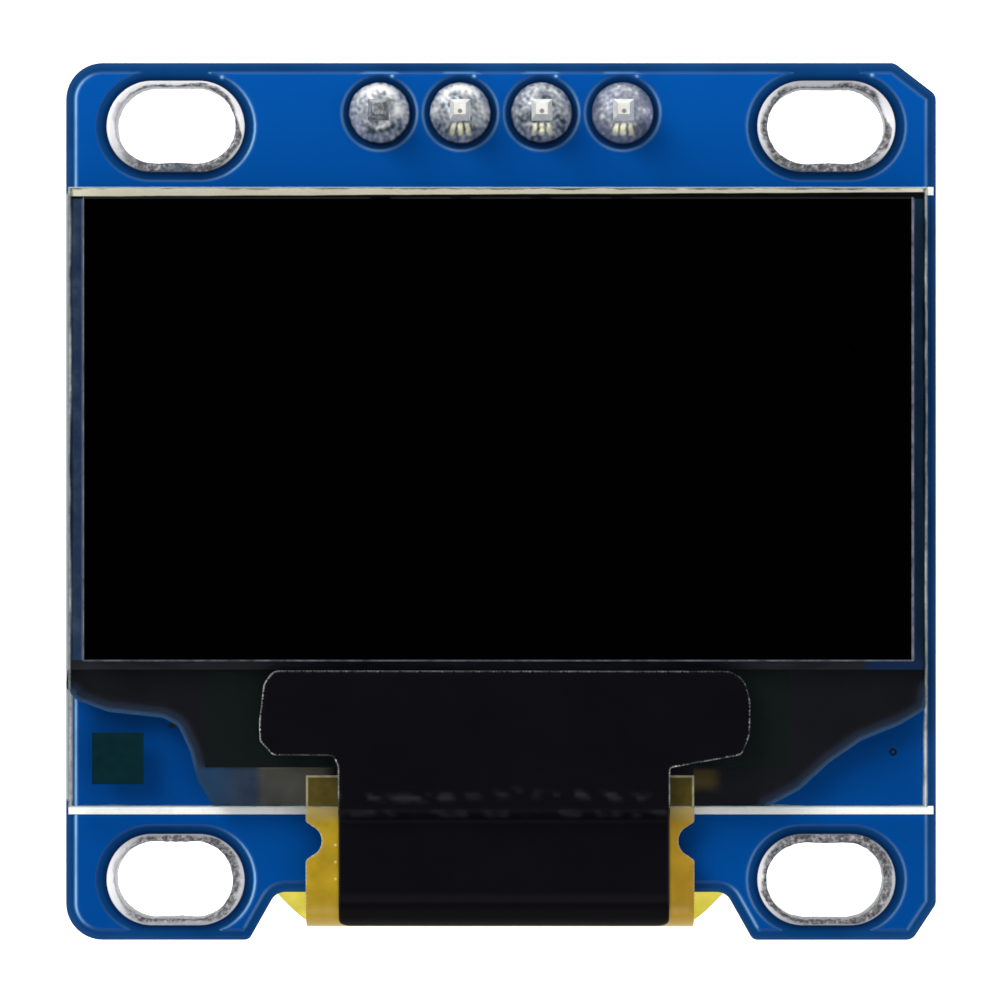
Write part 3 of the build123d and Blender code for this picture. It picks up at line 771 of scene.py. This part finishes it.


# Front lacquer: it climbs over the copper's edges in soft slopes, and the slopes that face the light get a
# painted highlight

core_face_z = 1.14
bare_z = 1.165
copper_step = 0.035
edge_drop = 0.012
pad_radius = 0.96
pin_clear_radius = 1.18
pin_y = pin_row / MM
pin_xs = [middle(f"header_pin_{i}")[0] / MM for i in range(1, 5)]
slot_clear_length = slot_length + 1.06
slot_clear_width = slot_width + 0.74
hole_margin = 0.01
# Small painted glints along the pour's top edge
spark_places = [photo_point(px, py, board_face_z) for px, py in (
    (392, 76), (474, 76), (556, 76), (637, 76), (222, 77), (872, 75))]


def front_lacquer():
    """Attributes: copper is where copper lifts the lacquer, shine the painted highlight on its lit slopes and
    glints, shade the dark by holes.
    """
    source = nodes["front_mask"].data
    outline = borders(source, lambda f: f.normal.z < -0.9)[0]
    raised = (board_face_z - 0.004) * MM
    found = borders(source, lambda f: f.normal.z > 0.9 and f.calc_center_median().z > raised)
    pour = max(found, key=lambda loop: np.ptp(loop[:, 0]))
    around_slots = [stadium(slot_clear_length, slot_clear_width, 30, 10) + c for c in slot_centres]
    around_pins = [circle(x, pin_y, pin_clear_radius) for x in pin_xs]
    ring_size = slot_length + 2 * ring_end + hole_margin, slot_width + 2 * ring_side + hole_margin
    holes = [stadium(*ring_size, 30, 10) + c for c in slot_centres]
    holes += [circle(x, pin_y, pad_radius, 60) for x in pin_xs]
    outline = anticlockwise(spread(outline, 0.15))
    loops = [inset(outline, 0.05)]
    for loop in [anticlockwise(pour)] + [anticlockwise(g) for g in around_slots + around_pins]:
        fine = spread(loop, 0.13)
        loops += [inset(fine, amount) for amount in (-0.1, -0.05, -0.016, 0.016, 0.05, 0.1)]
    for x, y in spark_places:
        loops += [circle(x, y, radius, 8) for radius in (0.03, 0.08)]
    for hole in holes:
        loops += [inset(hole, -gap) for gap in (0.06, 0.14)]
    flat, triangles = filled(outline, 0.45, loops, holes)
    within = inside(flat, pour)
    depth, way = nearest(flat, pour)
    depth = np.where(within, depth, -depth)
    out = np.where(within[:, None], way, -way)
    for gap in around_slots + around_pins:
        away, way = nearest(flat, gap)
        hidden = inside(flat, gap)
        away = np.where(hidden, -away, away)
        closer = away < depth
        out = np.where(closer[:, None], np.where(hidden[:, None], -way, way), out)
        depth = np.minimum(depth, away)
    out = out / np.maximum(np.linalg.norm(out, axis=1), 1e-9)[:, None]
    copper = np.clip((depth + 0.03) / 0.06, 0, 1)
    copper = copper * copper * (3 - 2 * copper)
    at_left = np.clip(0.5 - flat[:, 0] / 4, 0, 1)
    of_gap = np.minimum.reduce([distance(flat, gap) for gap in around_slots]) < 0.2
    of_pin = np.minimum.reduce([distance(flat, gap) for gap in around_pins]) < 0.2
    # Painted highlight: slopes facing the upper left shine most, slopes facing up or right a little
    lit = np.clip(-0.95 * out[:, 0] + 0.12 * out[:, 1], 0, 1) ** 2
    lit = np.where(of_pin, 0.55 * lit, lit)
    upper = np.where(of_pin, 0.35, 0.06)
    lit = np.maximum(lit, upper * np.clip(out[:, 1], 0, 1) ** 3)
    lit = np.where(of_gap, lit * (0.3 + 0.7 * at_left), lit)
    rightward = np.where(of_gap, 0.3 * (1 - at_left), 0.32)
    lit = np.maximum(lit, rightward * np.clip(out[:, 0], 0, 1) ** 2)
    shine = lit * np.exp(-(depth / 0.034) ** 2)
    for x, y in spark_places:
        shine = np.maximum(shine, np.exp(-(np.hypot(flat[:, 0] - x, flat[:, 1] - y) / 0.05) ** 2))
    shade = np.zeros(len(flat))
    for hole in holes:
        shade = np.maximum(shade, 0.85 * np.exp(-(distance(flat, hole) / 0.16) ** 2))
    rim = distance(flat, outline) < 0.02
    z = bare_z + copper_step * copper - edge_drop * rim
    tops = [(*p, h) for p, h in zip(flat, z)]
    unders = [(*p, core_face_z) for p in flat]
    values = {"copper": copper, "shine": shine, "shade": shade}
    points, faces, values = two_sided(triangles, tops, unders, values)
    piece("front_lacquer", points, faces, [mask_blue], "front_mask", None, values, 50)


front_lacquer()


# Solder joints: rounded domes with the pins' ends standing out of them

joint_radius = 0.97
joint_foot = 0.02
joint_rows = 44
columns = 128
joint_forms = [
    # height, fullness, mean tone, painted highlight on the top crescent, left flank and right flank, painted
    # shade in the crescent below, strokes of painted cream reflection, blue cast
    (1.12, 2.6, 0.64, 0.55, 0.0, 0.45, 0.40, 0.0, 0.0),
    (1.06, 3.0, 0.58, 0.50, 0.50, 0.60, 0.10, 1.0, 0.0),
    (1.06, 3.2, 0.55, 0.18, 0.12, 0.20, 0.00, 1.0, 0.0),
    (1.04, 3.4, 0.55, 0.10, 0.00, 0.40, 0.00, 1.0, 0.45),
]


@material
def solder_material():
    """Solder from painted shade to painted white highlights, by the tone attribute, with fine grain. warm
    paints a cream reflection.
    """
    cells = grain(4200, 5, 0.7)
    tone = plus(attribute("tone"), swing(cells, 0.55))
    cold = ramp(tone, [
        (0.0, "#121822"), (0.3, "#505a64"), (0.55, "#9aa2ac"), (0.8, "#dadad8"), (1.0, "#fcfcfa")])
    colour = blend(attribute("warm"), cold, "#f0eccd")
    colour = blend(attribute("blue"), colour, "#8e92aa")
    return dict(Base_Color=colour, Metallic=0.45, Roughness=0.42, Normal=bump(cells, 0.000012))


solder_blob = solder_material("solder_blob")
stroke_half = 0.44
stroke_low, stroke_high = -0.80, -0.38
stroke_pitch = 0.21
stroke_fan = 0.9
dome_turn = math.pi / 2 * 0.94


def solder_dome(i, cx, form):
    """A dome with painted highlights, painted shade and a painted cream reflection. Places in it are shares
    of its radius, and rho is 1 at its foot.
    """
    height, fullness, mean_tone, top_glow, left_glow, right_glow, below, strokes, blue_cast = form
    points, tones, cream_reflections, blues = [], [], [], []
    for r in range(joint_rows):
        t = r / (joint_rows - 1)
        rho = math.cos(t * dome_turn) if r else 1.0
        for c in range(columns):
            angle = 2 * math.pi * c / columns
            across, up = math.cos(angle), math.sin(angle)
            x, y = across * rho, up * rho
            edge = 1 + 0.015 * uneven(across * 1.5, up * 1.5, i * 3.0) * rho
            lump = uneven(x * 2.4 + i * 4, y * 2.4, i)
            small = uneven(x * 8 + i * 4, y * 8, i)
            hollow = math.exp(-((y + 0.57) / 0.20) ** 2 - (x / 0.46) ** 2) * strokes
            z = height * (1 - rho ** fullness) ** 0.75
            z += (0.05 * lump + 0.015 * small) * (1 - rho ** 4)
            z -= 0.05 * hollow
            points.append((cx + x * joint_radius * edge, pin_y + y * joint_radius * edge,
                           core_face_z + joint_foot + z))
            # The strokes are a painted cream reflection below the pin
            stroke = 0.0
            if strokes and stroke_low < y < stroke_high and abs(x) < stroke_half:
                fan = x / (1 + stroke_fan * (stroke_high - y)) + 0.03 * small
                middle_y, reach = (stroke_low + stroke_high) / 2, (stroke_high - stroke_low) / 2
                stroke = min(1.0, 1.5 * (0.5 + 0.5 * math.cos(fan * 2 * math.pi / stroke_pitch)))
                stroke *= (1 - (abs(x) / stroke_half) ** 6) * (1 - (abs(y - middle_y) / reach) ** 6)
            tone = mean_tone + 0.24 * lump + 0.36 * small
            # Painted highlights on the top crescent and both flanks; painted shade in the crescent below, in
            # the hollow, in a ring round the pin and at the foot
            tone += top_glow * math.exp(-((rho - 0.80) / 0.13) ** 2) * max(0.0, up) ** 2
            tone += left_glow * math.exp(-((x + 0.86) ** 2 + y ** 2) / 0.03)
            tone += right_glow * math.exp(-((x - 0.78) ** 2 + (y - 0.05) ** 2) / 0.035)
            tone -= below * math.exp(-((rho - 0.66) / 0.09) ** 2) * max(0.0, -up) ** 2
            tone -= 0.34 * hollow
            tone -= 0.22 * math.exp(-((math.hypot(x, y) - 0.42) / 0.07) ** 2) * (0.5 + 0.5 * small)
            tone -= 0.6 * max(0.0, (rho - 0.95) / 0.05)
            tones.append(tone)
            cream_reflections.append(min(1.0, stroke))
            blues.append(blue_cast if stroke < 0.1 and tone < 0.8 else 0.0)
    faces = grid_faces(joint_rows, columns)
    top = len(points)
    points += [(cx, pin_y, core_face_z + height), (cx, pin_y, core_face_z + 0.005)]
    foot = len(points)
    points += [(x, y, z - 0.015) for x, y, z in points[:columns]]
    start = (joint_rows - 1) * columns
    for c in range(columns):
        after = (c + 1) % columns
        faces += [(start + c, start + after, top), (foot + c, foot + after, after, c),
                  (foot + after, foot + c, top + 1)]
    hidden = 2 + columns
    values = {"tone": tones + [0.1] * hidden, "warm": cream_reflections + [0] * hidden, "blue": blues + [0] * hidden}
    piece(f"solder_blob_{i}", points, faces, [solder_blob], f"solder_joint_{i}", attributes=values)


for i, form in enumerate(joint_forms, 1):
    solder_dome(i, pin_xs[i - 1], form)


# Flex and tape: flat sheets laid along the path that they follow round the board's edge

flex_front_z = 1.95
flex_back_z = -0.15
flex_thickness = 0.1
bend_radius = (flex_front_z - flex_back_z) / 2
bend_z = (flex_front_z + flex_back_z) / 2
flex_box = [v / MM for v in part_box("flex_circuit")]
bond_box = [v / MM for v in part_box("flex_bond")]
ledge_traces_box = [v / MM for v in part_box("ledge_traces")]
bend_y = flex_box[0].y + bend_radius
flex_head_y = bond_box[1].y
flex_x = (bond_box[0].x + bond_box[1].x) / 2
glass_box = [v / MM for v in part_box("substrate_glass")]
cap_box = [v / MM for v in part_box("cap_glass")]
glass_end_y, glass_back_z, glass_front_z = glass_box[0].y, glass_box[0].z, glass_box[1].z


def flex_place(x, v, out=0.0):
    """Where a point of the flex lies. v runs along it from its head, out is the height over its face."""
    flat = flex_head_y - bend_y
    reach = bend_radius + out
    if v <= flat:
        return x, flex_head_y - v, flex_front_z + out
    turn = (v - flat) / bend_radius
    if turn <= math.pi:
        return x, bend_y - math.sin(turn) * reach, bend_z + math.cos(turn) * reach
    return x, bend_y + (turn - math.pi) * bend_radius, flex_back_z - out


def sheet(name, outline, where, thickness, materials, replaces, rim, rim_drop, spacing,
          relief=None, paint=None):
    """A thin sheet whose rim, this wide, slopes down by rim_drop. where places a point by x, v and height."""
    outline = anticlockwise(spread(outline, spacing * 0.8))
    flat, triangles = filled(outline, spacing, [inset(outline, rim)])
    gap = distance(flat, outline)
    height = np.where(gap < rim * 0.5, -rim_drop, 0.0)
    if relief:
        height = height + relief(flat) * np.clip(gap / 0.15, 0, 1)
    tops = [where(*p, h) for p, h in zip(flat, height)]
    unders = [where(*p, -thickness) for p in flat]
    points, faces, values = two_sided(triangles, tops, unders, paint(flat) if paint else {})
    near = distance(flat[triangles].mean(axis=1), outline) < rim * 0.6
    which = [int(n) for n in near] + [0] * len(triangles)
    which += [1] * (len(faces) - len(which))
    piece(name, points, faces, materials, replaces, which, values, 60)


flex_half = 6.06
tail_waist = 7.2
tail_half = 9.72
wing_half = 7.02
bite_radius = 0.50
bite_reach = 0.60
bite_v = flex_head_y - (glass_end_y - 1.085)
bend_start = flex_head_y - bend_y
back_start = bend_start + math.pi * bend_radius
flex_end = back_start + flex_box[1].y - bend_y


def under_bend(y):
    """How far along the flex a place on the bend's lower half lies."""
    return bend_start + bend_radius * (math.pi - math.asin((bend_y - y) / bend_radius))


def flex_outline():
    right = [(flex_half, 0.0, 0.2), (flex_half, bite_v - bite_reach, 0.13)]
    right += [(flex_half - bite_radius * math.cos(a), bite_v + bite_radius * math.sin(a), 0.02)
              for a in np.radians(np.arange(-66, 67, 11))]
    right += [(flex_half, bite_v + bite_reach, 0.13), (flex_half, under_bend(-13.17), 0.05),
              (wing_half, under_bend(-12.37), 0.2), (tail_waist, back_start + 0.3, 0.2),
              (tail_waist, back_start + 1.6, 0.7), (tail_half, back_start + 2.9, 0.5),
              (tail_half, flex_end, 0.05)]
    left = [(-x, v, r) for x, v, r in reversed(right)]
    outline = rounded(right + left, 6)
    outline[:, 0] += flex_x
    return outline


@material
def flex_material():
    """Amber film over copper: olive under the glass, with a painted highlight just past it and a painted
    lighter band on the bend; its back is brightened yellow with a painted glow where it leaves the bend.
    """
    x, y, z = axis("X"), axis("Y"), axis("Z")
    mottle = grain(1500, 4)
    left = mottled(mottle, "#9a7f14", "#b1931d")
    right = mottled(mottle, "#907016", "#a4821e")
    colour = blend(step_mm(x, -1, 1), left, right)
    lines = add("ShaderNodeTexWave", {
        "Vector": place(), "Scale": 480.0, "Distortion": 0.0}, bands_direction="X").outputs["Fac"]
    colour = blend(times(lines, 0.2), colour, "#8c6c18")
    # Painted light: lighter where the film turns over the bend
    colour = blend(times(step_mm(y, -12.5, -13.0), 0.6), colour, "#c4a038")
    # Painted highlight: a pale band just past the glass's edge
    colour = blend(times(step_mm(y, -10.0, -9.6), 0.75), colour, "#b09e68")
    colour = blend(step_mm(y, -9.47, -9.44), colour, "#544816")
    # Painted light: the back, in shade under the board, is given a brightened yellow and a glow where it
    # leaves the bend
    back = mottled(mottle, "#ded250", "#eee466")
    behind = step_mm(z, 1.0, 0.6)
    colour = blend(behind, colour, back)
    glow = times(behind, step_mm(y, -12.0, -12.2), 0.5)
    return dict(Base_Color=colour, Roughness=0.35, Normal=bump(lines, 0.000002), Emission_Color=back,
                Emission_Strength=glow, level=0.2)


@material
def flex_rim_material():
    """The film's cut edge: pale on its left side, fading to amber on the right and below, and the
    painted-light yellow of the film's back behind the bend.
    """
    speckle = grain(3000, 4)
    colour = mottled(speckle, "#8c8268", "#beb69c")
    right = step_mm(axis("X"), 0.0, 1.0)
    colour = blend(times(right, 0.6), colour, "#967e3c")
    colour = blend(step_mm(axis("Y"), -11.9, -12.6), colour, "#ba9a32")
    # Painted light: on the back the edge takes the same brightened yellow as the film
    colour = blend(step_mm(axis("Z"), 0.9, 0.6), colour, "#ded042")
    return dict(Base_Color=colour, Roughness=0.45, level=0.2)


flex_looks = [flex_material("amber_film"), flex_rim_material("amber_rim")]
sheet("flex", flex_outline(), flex_place, flex_thickness, flex_looks, "flex_circuit",
      rim=0.055, rim_drop=0.02, spacing=0.16)

tape_thickness = 0.08
tape_rise = glass_front_z - flex_front_z
tape_overhang = 0.05
tape_step = 0.5


def tape_place(x, v, out=0.0):
    """Where a point of the tape lies: on the glass, down its edge, and round with the flex."""
    y = cap_box[0].y - v
    base = tape_thickness + out
    if y > glass_end_y - tape_overhang:
        return x, y, glass_front_z + base
    if y > glass_end_y - tape_step:
        part = (glass_end_y - tape_overhang - y) / (tape_step - tape_overhang)
        fall = part * part * (3 - 2 * part)
        return x, y, glass_front_z + base - fall * tape_rise
    if y > bend_y:
        return x, y, flex_front_z + base
    turn = (bend_y - y) / bend_radius
    reach = bend_radius + base
    return x, bend_y - math.sin(turn) * reach, bend_z + math.cos(turn) * reach


def on_glass(corners):
    """Corners of the tape on the glass, from pixels and rounding in mm."""
    found = [(*photo_point(px, py, glass_front_z + tape_thickness), radius) for px, py, radius in corners]
    return [(x, cap_box[0].y - y, radius) for x, y, radius in found]


neck_z = flex_front_z + tape_thickness
tape_end = cap_box[0].y - bend_y + 1.18
neck_left = photo_point(338.5, 850, neck_z)[0]
neck_right = photo_point(669.5, 850, neck_z)[0]
left_corners = on_glass([
    (273, 670.5, 0.35), (263.5, 684, 0.45), (259, 722, 1.2), (259.5, 741, 0.15), (273, 755.5, 0.12)])
left_neck, left_throat, right_throat = on_glass([(334, 756, 0.14), (338, 766, 0.4), (669, 768, 0.3)])
right_corners = on_glass([
    (676, 767, 0.15), (742, 755, 0.25), (750, 735, 0.8), (750.5, 700, 1.2), (744, 679, 0.5), (730, 671, 0.3)])
tape_corners = [
    *left_corners, (neck_left - 0.16, *left_neck[1:]), (neck_left, *left_throat[1:]),
    (neck_left, tape_end, 0.36), (neck_right, tape_end, 0.36), (neck_right, *right_throat[1:]),
    *right_corners,
]


def crease_rows(flat):
    """How close each point is to one of the two rows of creases by the glass's edge."""
    y = cap_box[0].y - flat[:, 1]
    wander = lift(flat, 1.1, 0.10, 3.0)
    return np.exp(-((y + 9.10 + wander) / 0.11) ** 2) + 0.8 * np.exp(-((y + 9.66 + wander * 0.6) / 0.09) ** 2)


def tape_relief(flat):
    """Creases across the tape where it leaves the glass, and a fold before the bend."""
    rows = crease_rows(flat)
    fold = np.exp(-((cap_box[0].y - flat[:, 1] + 12.42) / 0.09) ** 2)
    broken = np.clip(lift(flat, 0.55, 0.9, 7.0) + 0.35, 0, 1)
    slanted = np.stack([flat[:, 0] - flat[:, 1] * 0.9, flat[:, 1] + flat[:, 0] * 0.5], axis=1)
    creases = rows * broken * 0.03 + lift(slanted, 0.35, 0.012, 11.0) * rows
    return creases + lift(flat, 2.2, 0.006, 1.0) - fold * 0.03


def tape_paint(flat):
    """How strongly the painted crease highlight shows at each point, where the row of creases isn't broken.
    """
    slanted = np.stack([flat[:, 0] - flat[:, 1] * 0.7, flat[:, 1]], axis=1)
    broken = np.clip(lift(slanted, 0.42, 1.6, 17.0), 0, 1)
    return {"crease": np.clip(crease_rows(flat) * broken, 0, 1)}


@material
def tape_material():
    """Matt black tape, with a painted grey highlight along its creases, a painted lighter band where it turns
    over the bend and painted shade beyond.
    """
    fibres = grain(5200, 5, 0.65)
    colour = blend(grain(420, 4, 0.6), "#050408", "#0b0a0f")
    # Painted highlight along the creases
    colour = blend(attribute("crease"), colour, "#26242b")
    # Painted light: a lighter band where the tape turns over the bend, painted shade past it
    above = times(step_mm(axis("Y"), -12.1, -12.25), 0.6)
    lighter = blend(above, colour, "#131216")
    colour = blend(step_mm(axis("Y"), -12.4, -12.5), lighter, "#060406")
    return dict(Base_Color=colour, Roughness=0.5, Normal=bump(fibres, 0.000006), level=0.035)


@material
def tape_rim_material():
    """The tape's cut edge, pale as a painted highlight where it catches the light: torn at the left and top,
    rope-like at the right, brown at the bend.
    """
    x, y = axis("X"), axis("Y")
    torn = grain(2600, 5, 0.7)
    # Painted highlight: the pale of the cut edge, torn at the left and top and rope-like at the right
    colour = ramp(torn, [(0.34, "#3c3d3e"), (0.5, "#848584"), (0.66, "#babab4")])
    rope = ramp(grain(5200, 3, 0.5), [(0.42, "#282a2c"), (0.56, "#888a8a")])
    colour = blend(step_mm(x, 5.6, 5.8), colour, rope)
    colour = blend(times(step_mm(y, -5.32, -5.26), 0.65), colour, "#22282e")
    foot = times(step_mm(y, -7.76, -7.82), step_mm(y, -7.96, -7.92), step_mm(x, 0.0, -0.5), 0.85)
    colour = blend(foot, colour, "#161618")
    colour = blend(step_mm(y, -9.0, -9.6), colour, "#3a3022")
    colour = blend(step_mm(y, -12.2, -12.6), colour, "#22160e")
    return dict(Base_Color=colour, Roughness=0.6, Normal=bump(torn, 0.00001), level=0.1)


tape_looks = [tape_material("black_tape"), tape_rim_material("tape_rim")]
sheet("tape", rounded(tape_corners, 8), tape_place, tape_thickness, tape_looks, "shield_tape",
      rim=0.06, rim_drop=0.03, spacing=0.11, relief=tape_relief, paint=tape_paint)


# Resin over the back of the ledge: dark, with a thin hazy blue edge

resin_depth = 0.34
resin_thin = 0.2


def on_ledge(corners):
    """Corners of the resin on the back of the glass, from pixels and rounding in mm."""
    return [(*photo_point(px, py, glass_back_z), radius) for px, py, radius in corners]


resin_left = on_ledge([
    (68, 664, 0), (66, 688, 0.3), (76, 700, 0.4), (108, 712, 0.8), (163, 718, 0.5), (178, 726, 0.3),
    (190, 751, 0.8), (197, 780, 0.8), (213, 806.5, 0.1)])
resin_right = on_ledge([
    (768, 806.5, 0.1), (800, 790, 0.9), (830, 762, 0.9), (861, 741, 0.9), (900, 725, 0.9), (926, 709, 0.3),
    (928, 690, 0), (928, 664, 0)])


@material
def resin_material():
    """Dark resin whose thin edge is hazy and lets the board show through, amber beside the flex."""
    x, y = axis("X"), axis("Y")
    cloud = grain(700, 4, 0.6)
    gap = plus(attribute("edge"), swing(cloud, 0.10))
    dark = blend(grain(500, 3), "#0e0e12", "#18181b")
    haze = ramp(gap, [(0.0, "#285c90"), (0.05, "#3a5474"), (0.16, "#263042"), (0.40, "#181a20")])
    colour = blend(step(gap, 0.30, 0.5), haze, dark)
    ragged = plus(y, times(cloud, 0.3 * MM))
    low = step_mm(ragged, -7.95, -8.2)
    foot = mottled(cloud, "#202e42", "#364458")
    foot = blend(step_mm(x, -8.2, -8.9), foot, "#264464")
    colour = blend(times(low, step_mm(x, -5.4, -6.4), 0.85), colour, foot)
    amber = times(step_mm(x, -7.68, -7.42), step_mm(x, -5.2, -5.6), step_mm(ragged, -8.02, -8.12))
    warm = mottled(cloud, "#383732", "#4a4942")
    colour = blend(times(amber, 0.9), colour, warm)
    line = times(amber, step_mm(unsigned(plus(y, 8.24 * MM)), 0.05, 0.03))
    colour = blend(line, colour, "#545034")
    spot = times(step_mm(x, 5.95, 6.05), step_mm(x, 6.9, 6.5), step_mm(ragged, -8.1, -8.25),
                 step_mm(ragged, -8.9, -8.6), 0.8)
    colour = blend(spot, colour, "#463c1e")
    cover = ramp(gap, [(0.0, 0.45), (0.05, 0.8), (0.2, 0.92), (0.45, 1.0)])
    return dict(Base_Color=colour, Roughness=0.5, Alpha=cover, level=0.05)


def resin():
    """The edge attribute says how far in from the resin's free edge a point lies, in mm."""
    outline = anticlockwise(spread(rounded(resin_left + resin_right, 6), 0.12))
    outline[:, 1] = np.clip(outline[:, 1], glass_end_y, cap_box[0].y)
    holes = []
    for low, high in (ledge_traces_box, bond_box):
        corners = [(low.x, low.y), (high.x, low.y), (high.x, high.y), (low.x, high.y)]
        holes.append(spread(np.array(corners), 0.3))
    flat, triangles = filled(outline, 0.13, holes=holes)
    left = rounded(resin_left[1:] + [(20, -30, 0)], 6)[:-1]
    right = rounded(resin_right[:-1] + [(-20, -30, 0)], 6)[:-1]
    gap = np.minimum(distance(flat, left, False), distance(flat, right, False))
    tops = [(*p, glass_back_z) for p in flat]
    unders = [(*p, glass_back_z - resin_depth + resin_thin * math.exp(-g / 0.25)) for p, g in zip(flat, gap)]
    points, faces, values = two_sided(triangles, tops, unders, {"edge": gap})
    dark_resin = resin_material("clear_dark_resin")
    piece("resin", points, faces, [dark_resin], "ledge_sealant", None, values, 40)


resin()


# Small marks: dark dots and a ring printed on the ledge, and plated dots on the flex

def disc(name, x, y, radius, low, high, look, inner=0.0):
    """A flat disc or ring. x and y are its centre, in mm."""
    parts = 32
    outer = circle(x, y, radius, parts)
    core = circle(x, y, max(inner, 0.001), parts)
    points = [(*p, z) for row, z in ((core, low), (outer, low), (outer, high), (core, high)) for p in row]
    piece(name, points, grid_faces(4, parts), [look], None, sharp=40)


mark_dark = plain("mark_dark", "#080e16", "#0e141c", 0.5, level=0.1)
mark_grey = plain("mark_grey", "#34424c", "#46545c", 0.5, level=0.1)
gold = plain("gold_dot", "#c4aa5c", "#dec880", 0.35, level=0.5)
mark_low, mark_high = glass_back_z - 0.012, glass_back_z - 0.002
dot_radius = 0.05
dot_height = 0.006
for i, (px, py, radius, inner, look) in enumerate((
        (172, 725, 0.10, 0.0, mark_dark), (825, 725, 0.09, 0.0, mark_dark), (893, 752, 0.12, 0.05, mark_dark),
        (103, 755, 0.06, 0.0, mark_grey)), 1):
    x, y = photo_point(px, py, glass_back_z)
    disc(f"ledge_mark_{i}", x, y, radius, mark_low, mark_high, look, inner)
for i, py in enumerate((845, 862, 879), 1):
    x, y = photo_point(335.5, py, flex_front_z)
    disc(f"flex_dot_{i}", x, y, dot_radius, flex_front_z, flex_front_z + dot_height, gold)


# Floor, light and background

def area_light(name, x, y, z, width, height, power):
    """A soft lamp that points at the module. Places and sizes in metres."""
    data = bpy.data.lights.new(name, "AREA")
    data.shape = "RECTANGLE"
    data.size = width
    data.size_y = height
    data.energy = power
    lamp = bpy.data.objects.new(name, data)
    bpy.context.scene.collection.objects.link(lamp)
    lamp.location = (x, y, z)
    lamp.rotation_euler = (-lamp.location).to_track_quat("-Z", "Y").to_euler()


area_light("key_light", -0.30, 0.32, 0.34, 0.28, 0.28, 2.0)
area_light("fill_light", 0.45, -0.1, 0.4, 0.35, 0.35, 0.6)
area_light("front_light", -0.05, -0.5, 0.3, 0.35, 0.2, 0.8)
floor_glow = 0.8


@material
def floor_paper():
    """White paper that glows for the camera and in reflections, but throws no light on the module."""
    path = add("ShaderNodeLightPath").outputs
    seen = higher(path["Is Camera Ray"], path["Is Glossy Ray"], path["Is Transmission Ray"])
    return dict(Base_Color=0.8, Roughness=0.9, level=0.0, Emission_Color=1.0,
                Emission_Strength=times(seen, floor_glow))


floor_z = cad_box[0].z
mesh = bpy.data.meshes.new("floor")
mesh.from_pydata([(-1, -1, floor_z), (1, -1, floor_z), (1, 1, floor_z), (-1, 1, floor_z)], [], [(0, 1, 2, 3)])
mesh.materials.append(floor_paper("floor"))
floor = bpy.data.objects.new("floor", mesh)
bpy.context.scene.collection.objects.link(floor)

world = bpy.data.worlds.new("world")
bpy.context.scene.world = world
world.use_nodes = True
tree = world.node_tree
direction = add("ShaderNodeSeparateXYZ", {0: add("ShaderNodeTexCoord").outputs["Generated"]})
light = ramp(direction.outputs["Z"], [(0.0, 0.4), (0.5, 0.45), (0.8, 0.68), (0.96, 0.68), (0.982, 0.0)])
shown = blend(add("ShaderNodeLightPath").outputs["Is Camera Ray"], light, 1.0)
tree.links.new(shown, tree.nodes["Background"].inputs["Color"])
